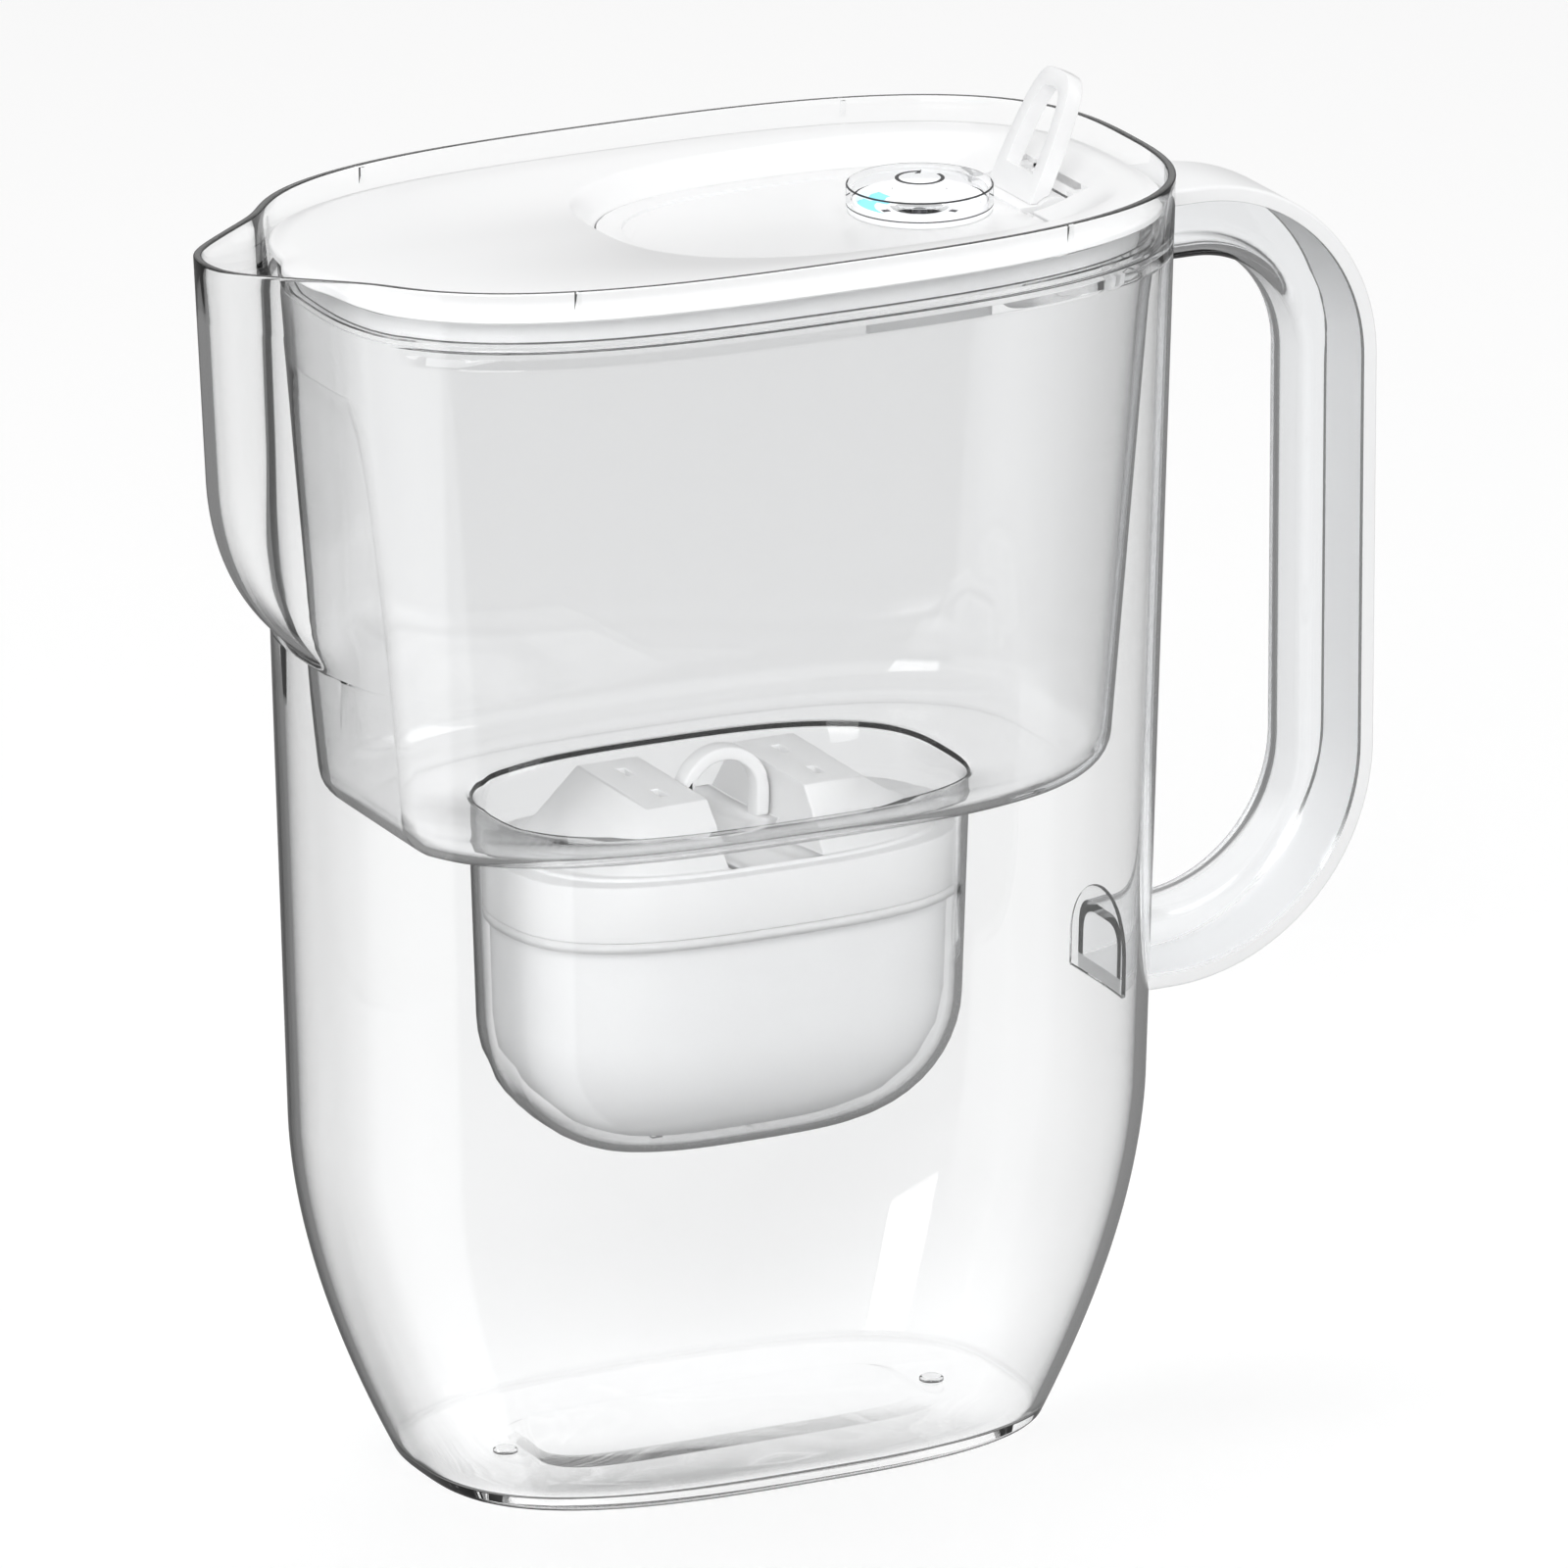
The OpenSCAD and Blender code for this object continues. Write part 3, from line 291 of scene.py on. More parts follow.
@dataclass(frozen=True)
class MouldedPlastic:
    """Solid plastic with a moulded grain and slight cloudiness."""

    name: str
    colour: Colour
    roughness: float
    grain: Grain = Grain.SATIN
    cloud: float = 0.02
    coat: float = 0.0

    def make(self) -> bpy.types.Material:
        """Returns the material."""
        n = Nodes(self.name)
        low = tuple(max(0.0, c - self.cloud) for c in self.colour)
        high = tuple(min(1.0, c + self.cloud) for c in self.colour)
        colour = n.ramp(n.noise(26.0, 2.0), [(0.35, low), (0.65, high)])
        shader = n.add("BsdfPrincipled")
        shader.inputs["Roughness"].default_value = self.roughness
        shader.inputs["Coat Weight"].default_value = self.coat
        n.link(colour, shader.inputs["Base Color"])
        n.link(n.bump(n.noise(self.grain.scale, 4.0), self.grain.depth, 0.0004), shader.inputs["Normal"])
        return n.finish(shader.outputs["BSDF"])


@dataclass(frozen=True)
class Metal:
    """Bare metal with a fine directional grain."""

    name: str
    colour: Colour
    roughness: float
    stretch: Point = (1.0, 1.0, 1.0)

    def make(self) -> bpy.types.Material:
        """Returns the material."""
        n = Nodes(self.name)
        shader = n.add("BsdfPrincipled")
        shader.inputs["Metallic"].default_value = 1.0
        shader.inputs["Roughness"].default_value = self.roughness
        grain = n.noise(700.0, 5.0, self.stretch)
        low = tuple(c * 0.86 for c in self.colour)
        n.link(n.ramp(grain, [(0.3, low), (0.7, self.colour)]), shader.inputs["Base Color"])
        n.link(n.bump(grain, 0.08, 0.0002), shader.inputs["Normal"])
        return n.finish(shader.outputs["BSDF"])


@dataclass(frozen=True)
class Granules:
    """Packed filter grains: pale resin beads mixed with dark carbon."""

    name: str
    pale: Colour = (0.80, 0.79, 0.76)
    dark: Colour = (0.10, 0.10, 0.11)
    bead: float = 900.0

    def make(self) -> bpy.types.Material:
        """Returns the material."""
        n = Nodes(self.name)
        place = n.add("TexCoord")
        beads = n.add("TexVoronoi")
        beads.inputs["Scale"].default_value = self.bead
        n.link(place.outputs["Object"], beads.inputs["Vector"])
        pick = n.add("SeparateColor")
        n.link(beads.outputs["Color"], pick.inputs["Color"])
        shader = n.add("BsdfPrincipled")
        shader.inputs["Roughness"].default_value = 0.75
        colour = n.ramp(pick.outputs["Red"], [(0.60, self.pale), (0.64, self.dark)])
        n.link(colour, shader.inputs["Base Color"])
        n.link(n.bump(beads.outputs["Distance"], 0.6, 0.0006), shader.inputs["Normal"])
        return n.finish(shader.outputs["BSDF"])


@dataclass(frozen=True)
class Palette:
    """All the pitcher's finishes, made once."""

    jug: bpy.types.Material
    funnel: bpy.types.Material
    button: bpy.types.Material
    grip: bpy.types.Material
    lid: bpy.types.Material
    cover: bpy.types.Material
    cap: bpy.types.Material
    shell: bpy.types.Material
    screen: bpy.types.Material
    seal: bpy.types.Material
    grains: bpy.types.Material
    steel: bpy.types.Material
    board: bpy.types.Material
    dark: bpy.types.Material
    dial: bpy.types.Material
    blue: bpy.types.Material
    red: bpy.types.Material
    ink: bpy.types.Material
    grey: bpy.types.Material

    @classmethod
    def make(cls) -> "Palette":
        """Returns the palette with every finish built."""
        return cls(
            jug=ClearPlastic("jug_clear").make(),
            funnel=ClearPlastic("funnel_clear", tint=(0.99, 0.992, 0.994)).make(),
            button=ClearPlastic("button_clear", (0.985, 0.987, 0.99), ior=1.02, wave=0.0).make(),
            grip=ClearPlastic("grip_clear", tint=(0.96, 0.965, 0.97), wave=0.0).make(),
            lid=MouldedPlastic("lid_white", (0.93, 0.932, 0.935), 0.28, Grain.POLISHED, 0.006).make(),
            cover=MouldedPlastic("cover_white", (0.91, 0.913, 0.917), 0.38, Grain.SATIN, 0.008).make(),
            cap=MouldedPlastic("cap_white", (0.95, 0.95, 0.95), 0.42, Grain.SATIN, 0.008).make(),
            shell=MouldedPlastic("shell_milky", (0.95, 0.952, 0.955), 0.5, Grain.MATT, 0.01).make(),
            screen=MouldedPlastic("screen_mesh", (0.84, 0.85, 0.85), 0.6, Grain.MATT, 0.05).make(),
            seal=MouldedPlastic("seal_soft", (0.82, 0.82, 0.82), 0.7, Grain.MATT, 0.015).make(),
            grains=Granules("filter_grains").make(),
            steel=Metal("pin_steel", (0.66, 0.67, 0.68), 0.28, (1.0, 0.05, 1.0)).make(),
            board=MouldedPlastic("board_lacquer", (0.80, 0.82, 0.80), 0.35, Grain.SATIN, 0.01, 0.4).make(),
            dark=MouldedPlastic("dark_moulded", (0.035, 0.035, 0.04), 0.45, Grain.SATIN, 0.008).make(),
            dial=MouldedPlastic("dial_film", (0.90, 0.91, 0.92), 0.5, Grain.SATIN, 0.01).make(),
            blue=MouldedPlastic("print_blue", (0.20, 0.66, 0.87), 0.45, Grain.SATIN, 0.015).make(),
            red=MouldedPlastic("print_red", (0.78, 0.08, 0.29), 0.45, Grain.SATIN, 0.015).make(),
            # Black for the printed arrow, and also painted shade on the button's edges.
            ink=MouldedPlastic("print_and_edge_shade_black", (0.02, 0.02, 0.022), 0.5, Grain.SATIN, 0.004).make(),
            grey=MouldedPlastic("print_grey", (0.42, 0.43, 0.45), 0.5, Grain.SATIN, 0.01).make(),
        )


# ---------------------------------------------------------------------------------------- mesh helpers


def shade(mesh: bpy.types.Mesh, sharp: float = SHARP) -> None:
    """Shades a mesh smooth, apart from edges above an angle in degrees."""
    mesh.polygons.foreach_set("use_smooth", [True] * len(mesh.polygons))
    mesh.set_sharp_from_angle(angle=math.radians(sharp))


def add_object(name: str, mesh: bpy.types.Mesh) -> bpy.types.Object:
    """Puts a mesh into the scene as an object."""
    piece = bpy.data.objects.new(name, mesh)
    bpy.context.scene.collection.objects.link(piece)
    return piece


def add_mesh(name: str, points: Iterable[Point], faces: Iterable[Sequence[int]],
             sharp: float = SHARP) -> bpy.types.Object:
    """Makes a closed, smooth-shaded mesh object.

    Args:
        name: The piece's name.
        points: Points in millimetres.
        faces: Lists of point indices.
        sharp: Angle in degrees above which an edge stays sharp.

    Returns:
        The new object.
    """
    mesh = bpy.data.meshes.new(name)
    mesh.from_pydata([tuple(c * MM for c in p) for p in points], [], [tuple(f) for f in faces])
    mesh.validate()
    form = bmesh.new()
    form.from_mesh(mesh)
    bmesh.ops.remove_doubles(form, verts=form.verts, dist=MERGE_DISTANCE)
    loose = [edge for edge in form.edges if not edge.link_faces]
    bmesh.ops.delete(form, geom=loose, context="EDGES")
    bmesh.ops.recalc_face_normals(form, faces=form.faces)
    form.to_mesh(mesh)
    form.free()
    shade(mesh, sharp)
    return add_object(name, mesh)


def loft(name: str, rings: Sequence[Ring], closed: bool = False, sharp: float = SHARP) -> bpy.types.Object:
    """Makes a skin through rings of points.

    Args:
        name: The piece's name.
        rings: Rings with the same number of points, in millimetres.
        closed: True to join the last ring to the first, otherwise both ends are capped.
        sharp: Angle in degrees above which an edge stays sharp.

    Returns:
        The new object.
    """
    size = len(rings[0])
    points = [p for ring in rings for p in ring]
    spans = len(rings) if closed else len(rings) - 1
    faces: list[list[int]] = []
    for i in range(spans):
        low, high = i * size, (i + 1) % len(rings) * size
        faces += [[low + j, low + (j + 1) % size, high + (j + 1) % size, high + j] for j in range(size)]
    if not closed:
        last = (len(rings) - 1) * size
        faces += [list(range(size))[::-1], [last + j for j in range(size)]]
    return add_mesh(name, points, faces, sharp)


def lathe(name: str, centre: Point, profile: Sequence[Flat], steps: int,
          sharp: float = SHARP) -> bpy.types.Object:
    """Turns a closed profile round an upright axis.

    Args:
        name: The piece's name.
        centre: A point on the axis. Its height is added to the profile's heights.
        profile: Radius and height of each corner. It may touch the axis at its ends.
        steps: Divisions round the axis.
        sharp: Angle in degrees above which an edge stays sharp.

    Returns:
        The new object.
    """
    x, y, base = centre
    rings = []
    for t in (math.tau * k / steps for k in range(steps)):
        rings.append([(x + r * math.cos(t), y + r * math.sin(t), base + z) for r, z in profile])
    return loft(name, rings, closed=True, sharp=sharp)


def round_corners(path: Sequence[Flat], radii: Sequence[float], steps: int,
                  closed: bool = False) -> list[Flat]:
    """Rounds the corners of a flat path.

    Args:
        path: Corners of the path.
        radii: Radius at each corner, 0 to keep it sharp.
        steps: Divisions of each rounded corner.
        closed: True if the path's ends are joined.

    Returns:
        The path with its corners rounded.
    """
    made: list[Flat] = []
    count = len(path)
    for i, (corner, radius) in enumerate(zip(path, radii)):
        if radius <= 0 or (not closed and i in (0, count - 1)):
            made.append(corner)
            continue
        here = Vector(corner)
        before = Vector(path[i - 1]) - here
        after = Vector(path[(i + 1) % count]) - here
        angle = before.angle(after)
        reach = min(radius / math.tan(angle / 2), before.length * 0.49, after.length * 0.49)
        start, end = here + before.normalized() * reach, here + after.normalized() * reach
        for k in range(steps + 1):
            t = k / steps
            p = start * (1 - t) ** 2 + here * 2 * t * (1 - t) + end * t * t
            made.append((p.x, p.y))
    return made


def sweep(name: str, stations: Sequence[tuple[Vector, Vector, Vector]], outline: Sequence[Flat],
          sharp: float) -> bpy.types.Object:
    """Sweeps an outline along stations.

    Args:
        name: The piece's name.
        stations: A place and the directions of the outline's two axes, for each station.
        outline: Points of the outline.
        sharp: Angle in degrees above which an edge stays sharp.

    Returns:
        The new object.
    """
    rings = [[tuple(place + across * p + up * q) for p, q in outline] for place, across, up in stations]
    return loft(name, rings, sharp=sharp)


def prism(name: str, outline: Sequence[Flat], low: float, high: float) -> bpy.types.Object:
    """Makes an upright prism.

    Args:
        name: The piece's name.
        outline: The plan's corners.
        low: Height of the underside.
        high: Height of the top.

    Returns:
        The new object.
    """
    return loft(name, [[(x, y, z) for x, y in outline] for z in (low, high)])


def soften(piece: bpy.types.Object, radius: float) -> bpy.types.Object:
    """Adds a bevel that rounds a piece's sharp edges.

    Args:
        piece: The piece.
        radius: Radius of the edges in millimetres.

    Returns:
        The same piece.
    """
    weld = piece.modifiers.new("weld", "WELD")
    weld.merge_threshold = WELD_DISTANCE
    bevel = piece.modifiers.new("soft_edges", "BEVEL")
    bevel.width = radius * MM
    bevel.segments = BEVEL_STEPS
    bevel.limit_method = "ANGLE"
    bevel.angle_limit = math.radians(SHARP)
    bevel.harden_normals = True
    return piece


def cut(piece: bpy.types.Object, cutters: Sequence[bpy.types.Object]) -> bpy.types.Object:
    """Cuts closed meshes out of a piece, and removes the cutters.

    Args:
        piece: The piece to cut.
        cutters: Closed mesh objects.

    Returns:
        The same piece, with its mesh cut.
    """
    for cutter in cutters:
        step = piece.modifiers.new("cut", "BOOLEAN")
        step.operation = "DIFFERENCE"
        step.solver = "EXACT"
        step.object = cutter
    graph = bpy.context.evaluated_depsgraph_get()
    mesh = bpy.data.meshes.new_from_object(piece.evaluated_get(graph))
    piece.modifiers.clear()
    piece.data = mesh
    for cutter in cutters:
        bpy.data.objects.remove(cutter, do_unlink=True)
    shade(mesh)
    return piece


def block(name: str, low: Point, high: Point) -> bpy.types.Object:
    """Makes a box from its lowest to its highest corner."""
    outline = [(low[0], low[1]), (high[0], low[1]), (high[0], high[1]), (low[0], high[1])]
    return prism(name, outline, low[2], high[2])


def place_piece(piece: bpy.types.Object, body: str, material: bpy.types.Material,
                replaces: Sequence[str] = ()) -> bpy.types.Object:
    """Dresses a piece and lets it ride on a CAD body.

    Args:
        piece: The piece.
        body: The CAD body's name.
        material: Its finish.
        replaces: CAD nodes that it stands for.

    Returns:
        The same piece.
    """
    piece.data.materials.clear()
    piece.data.materials.append(material)
    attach(piece, body)
    if replaces:
        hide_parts(*replaces)
    LOG.info("%s rides on %s, %s", piece.name, body, material.name)
    return piece


def dress_node(frame: Frame, node: str, material: bpy.types.Material, edge: float = 0.0,
               sharp: float = SHARP) -> None:
    """Gives a CAD node its finish, smooth shading and soft edges.

    Args:
        frame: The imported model, as it was loaded.
        node: The CAD node's name.
        material: Its finish.
        edge: Radius of its edges in millimetres, 0 for none.
        sharp: Angle in degrees above which an edge stays sharp.
    """
    piece = frame["nodes"][node]
    piece.data.materials.clear()
    piece.data.materials.append(material)
    if edge:
        soften(piece, edge)
    weld = piece.modifiers.new("weld_faces", "WELD")
    weld.merge_threshold = WELD_DISTANCE
    shade(piece.data, sharp)
    LOG.info("CAD node %s wears %s", node, material.name)


def spread(low: float, high: float, count: int) -> list[float]:
    """Evenly spaced values from low to high, both included."""
    return [low + (high - low) * k / (count - 1) for k in range(count)]


def lerp(a: float, b: float, t: float) -> float:
    """The value a share t of the way from a to b."""
    return a + (b - a) * t


def smooth(t: float) -> float:
    """A soft step from 0 to 1."""
    t = min(1.0, max(0.0, t))
    return t * t * (3 - 2 * t)


# ------------------------------------------------------------------------------------------ plan forms


def oval(angle: float, half_length: float, half_width: float, power: float) -> float:
    """Distance from the centre to a superellipse.

    Args:
        angle: Direction in degrees, from the spout.
        half_length: Half size along X.
        half_width: Half size along Y.
        power: 2 is an ellipse, larger values are squarer.

    Returns:
        The distance in millimetres.
    """
    t = math.radians(angle)
    return (abs(math.cos(t) / half_length) ** power + abs(math.sin(t) / half_width) ** power) ** (-1 / power)


def spot(angle: float, radius: float, z: float, x: float = 0.0) -> Point:
    """A point at an angle from the spout and a distance from an upright axis at x."""
    t = math.radians(angle)
    return (x - radius * math.cos(t), radius * math.sin(t), z)


def oval_ring(z: float, half_length: float, half_width: float, angles: Sequence[float], x: float = 0.0,
              power: float = 2.87) -> Ring:
    """A superellipse ring at a height."""
    return [spot(a, oval(a, half_length, half_width, power), z, x) for a in angles]


def both_sides(half: Sequence[float]) -> list[float]:
    """Angles from 0 to 180 and back round the other side."""
    return list(half) + [-a for a in reversed(half[1:-1])]


@dataclass(frozen=True)
class JugForm:
    """The jug's outside as a formula: superellipse sections, a curved foot and a pointed nose."""

    height: float = 271.0
    rim_length: float = 193.6
    rim_width: float = 115.6
    base_length: float = 137.8
    base_width: float = 82.2
    draft_length: float = 7.4
    draft_width: float = 4.4
    foot_height: float = 75.0
    foot_radius: float = 1.5
    power: float = 2.87
    foot_power: float = 1.87
    spout_tip: float = 117.6
    spout_apex: float = 127.6
    spout_angle: float = 39.7
    spout_lean: float = 0.05
    keel_height: float = 222.0
    keel_rise: float = 40.0
    keel_depth: float = 30.0
    tip_sharp: float = 40.0
    root_soft: float = 1.0
    keel_soft: float = 3.0
    nose_in: float = 18.0
    nose_out: float = 30.0

    def _foot(self, z: float) -> float:
        """Share of the way from the wall to the base at a height."""
        return ((self.foot_height - z) / self.foot_height) ** self.foot_power if z < self.foot_height else 0.0

    def _edge(self, z: float) -> float:
        """How far the bottom edge's rounding draws the section in."""
        r = self.foot_radius
        return r - math.sqrt(r * r - (r - z) ** 2) if z < r else 0.0

    def half_length(self, z: float) -> float:
        """Half length of the body at a height."""
        wall = self.rim_length / 2 - self.draft_length * (1 - z / self.height)
        return lerp(wall, self.base_length / 2, self._foot(z)) - self._edge(z)

    def half_width(self, z: float) -> float:
        """Half width of the body at a height."""
        wall = self.rim_width / 2 - self.draft_width * (1 - z / self.height)
        return lerp(wall, self.base_width / 2, self._foot(z)) - self._edge(z)

    def keel(self, z: float) -> float:
        """Distance of the spout's keel from the centre at a height."""
        d = (self.keel_height - z) / self.keel_rise
        if d >= 1:
            return 0.8 * self.half_length(z)
        tip = self.spout_tip - self.spout_lean * (self.height - z)
        return tip - (self.keel_depth * (1 - math.sqrt(1 - d * d)) if d > 0 else 0.0)

    def nosed(self, angle: float, a: float, b: float, tip: float, apex: float, soft: float = 1.0) -> float:
        """Distance from the centre to a section with a nose at angle 0.

        Args:
            angle: Direction in degrees, from the spout.
            a: Half length of the body.
            b: Half width of the body.
            tip: Distance to the nose's tip.
            apex: Distance to where the nose's sides would meet.
            soft: Radius of the blend between the nose and the body.

        Returns:
            The distance in millimetres.
        """
        body = oval(angle, a, b, self.power)
        if abs(angle) >= self.nose_out:
            return body
        t = math.radians(abs(angle))
        slope = math.tan(math.radians(self.spout_angle))
        side = apex * slope / (math.sin(t) + math.cos(t) * slope)
        flat = tip / math.cos(t)
        nose = side * (1 + (side / flat) ** self.tip_sharp) ** (-1 / self.tip_sharp)
        keep = 1 - smooth((abs(angle) - self.nose_in) / (self.nose_out - self.nose_in))
        lift = (nose - body) / soft
        grown = lift if lift > 30 else math.log1p(math.exp(lift))
        return body + keep * soft * grown

    def ring(self, z: float, inset: float, angles: Sequence[float]) -> Ring:
        """The section at a height, drawn in by an inset."""
        tip = self.keel(z) - inset
        apex = self.spout_apex - self.spout_tip + self.keel(z) - 1.5 * inset
        a, b = self.half_length(z) - inset, self.half_width(z) - inset
        soft = lerp(self.root_soft, self.keel_soft, smooth((self.keel_height - z) / self.keel_rise))
        return [spot(t, self.nosed(t, a, b, tip, apex, soft), z) for t in angles]


JUG_ANGLES = both_sides(spread(0, 30, 41)[:-1] + spread(30, 180, 76))


# ------------------------------------------------------------------------------------------------- jug


@dataclass(frozen=True)
class Jug:
    """The clear jug: wall, rim, ledge, floor with its panel and pips, and lid ribs."""

    form: JugForm = JugForm()
    wall: float = 2.4
    rim_wall: float = 1.6
    ledge_z: float = 257.7
    ledge_depth: float = 3.5
    ledge_start: float = 19.0
    ledge_full: float = 23.0
    floor: float = 3.2
    rim_round: float = 0.55
    rim_depth: float = 3.0
    ledge_edge: float = 1.4
    ledge_drop: float = 3.6
    ledge_run: float = 6.0
    panel_length: float = 92.0
    panel_width: float = 36.0
    panel_height: float = 0.45
    panel_slope: float = 6.0
    pip_x: float = 50.0
    pip_radius: float = 2.6
    pip_height: float = 0.8
    rib_width: float = 1.6
    rib_height: float = 3.6
    rib_places: tuple[float, float] = (-57.0, 55.0)
    lid_gap: float = 0.8

    def build(self, palette: Palette) -> None:
        """Builds the jug's pieces.

        Args:
            palette: The finishes.
        """
        place_piece(self.shell(), "jug", palette.jug, ["jug_body"])
        for side in (-1, 1):
            r, h = self.pip_radius, self.pip_height
            name = f"floor_pip_{'left' if side < 0 else 'right'}"
            pip = lathe(name, (side * self.pip_x, 0, self.floor + 0.02),
                        [(0, 0), (r, 0), (r, h * 0.6), (r * 0.8, h), (0, h)], 40)
            place_piece(pip, "jug", palette.jug)
        for i, x in enumerate(self.rib_places):
            for side in (-1, 1):
                rib = self.rib(f"lid_rib_{i}_{'near' if side < 0 else 'far'}", x, side)
                place_piece(rib, "jug", palette.jug)

    def shelf_ring(self, inset: float, z: float) -> Ring:
        """A ring of the inner ledge, which fades out in the spout."""
        drop = (self.form.height - z) / (self.form.height - self.ledge_z)
        plain = lerp(self.rim_wall, self.wall, smooth(drop))
        edge = self.form.ring(z, inset, JUG_ANGLES)
        free = self.form.ring(z, plain, JUG_ANGLES)
        made = []
        for angle, p, q in zip(JUG_ANGLES, edge, free):
            share = smooth((abs(angle) - self.ledge_start) / (self.ledge_full - self.ledge_start))
            made.append((lerp(q[0], p[0], share), lerp(q[1], p[1], share), z))
        return made

    def panel_ring(self, lift: float, inset: float) -> Ring:
        """The floor panel's outline at a height above the floor, drawn in more on its near side."""
        ring = oval_ring(self.floor + lift, self.panel_length / 2 - inset * 0.4,
                         self.panel_width / 2 - inset / 2, JUG_ANGLES, power=5)
        return [(x, y + inset * 0.4, z) for x, y, z in ring]

    def heights(self) -> list[float]:
        """Heights of the outside's rings."""
        f = self.form
        foot = [f.foot_radius * (1 - math.cos(math.radians(a))) for a in range(0, 90, 15)]
        curve = spread(f.foot_radius, f.foot_height, 26)
        straight = spread(f.foot_height, f.keel_height - f.keel_rise, 9)[1:]
        keel = [f.keel_height - f.keel_rise * math.sin(math.radians(a)) for a in range(88, 0, -3)]
        return foot + curve + straight + keel + spread(f.keel_height + 4, f.height - self.rim_round, 6)

    def shell(self) -> bpy.types.Object:
        """Returns the wall, with its rim, ledge and floor, as one closed mesh."""
        f, ledge = self.form, self.ledge_z
        outside = self.heights()
        rim_low = f.height - self.rim_depth
        rim = round_corners(
            [(0, rim_low), (0, f.height), (self.rim_wall, f.height), (self.rim_wall, rim_low)],
            [0, self.rim_round, self.rim_round, 0], 5)
        low = ledge - self.ledge_drop
        shelf = round_corners(
            [(self.rim_wall, rim_low), (self.rim_wall, ledge), (self.ledge_depth, ledge),
             (self.ledge_depth, ledge - self.ledge_edge), (self.wall, low),
             (self.wall, low - self.ledge_run)],
            [0, 0.4, 0.4, 0.6, 2.0, 0], 4)
        inner = [z for z in reversed(outside) if self.floor + 3 < z < low - self.ledge_run - 1]
        hollow = round_corners(
            [(self.wall, self.floor + 3), (self.wall, self.floor), (self.wall + 4, self.floor)],
            [0, 1.0, 0], 5)
        rings = [f.ring(z, 0, JUG_ANGLES) for z in outside if z < rim_low]
        rings += [f.ring(z, inset, JUG_ANGLES) for inset, z in rim[:-1]]
        rings += [self.shelf_ring(inset, z) for inset, z in shelf]
        rings += [f.ring(z, self.wall, JUG_ANGLES) for z in inner]
        rings += [f.ring(z, inset, JUG_ANGLES) for inset, z in hollow]
        h, slope = self.panel_height, self.panel_slope
        rings += [self.panel_ring(0, -1.0), self.panel_ring(0, 0), self.panel_ring(h, slope),
                  self.panel_ring(h, slope + 1.0)]
        return loft("jug_wall", rings, sharp=40.0)

    def rib(self, name: str, x: float, side: int) -> bpy.types.Object:
        """A small triangular rib inside the rim, beside the lid.

        Args:
            name: The rib's name.
            x: Its place along the rim.
            side: -1 for the near side, 1 for the far side.

        Returns:
            The rib.
        """
        f = self.form
        a, b = f.half_length(f.height) - self.rim_wall, f.half_width(f.height) - self.rim_wall
        inside = b * (1 - (abs(x) / a) ** f.power) ** (1 / f.power)
        top, low = f.height - 0.5, f.height - 0.5 - self.rib_height
        w, out = self.rib_width / 2, inside + 0.1
        tip = inside - self.lid_gap + 0.4
        points = [(px, side * out, z) for z in (low, top) for px in (x - w, x + w)] + [(x, side * tip, top)]
        return add_mesh(name, points, [(0, 1, 3, 2), (2, 3, 4), (0, 2, 4), (1, 4, 3), (0, 4, 1)])


# ---------------------------------------------------------------------------------------------- handle


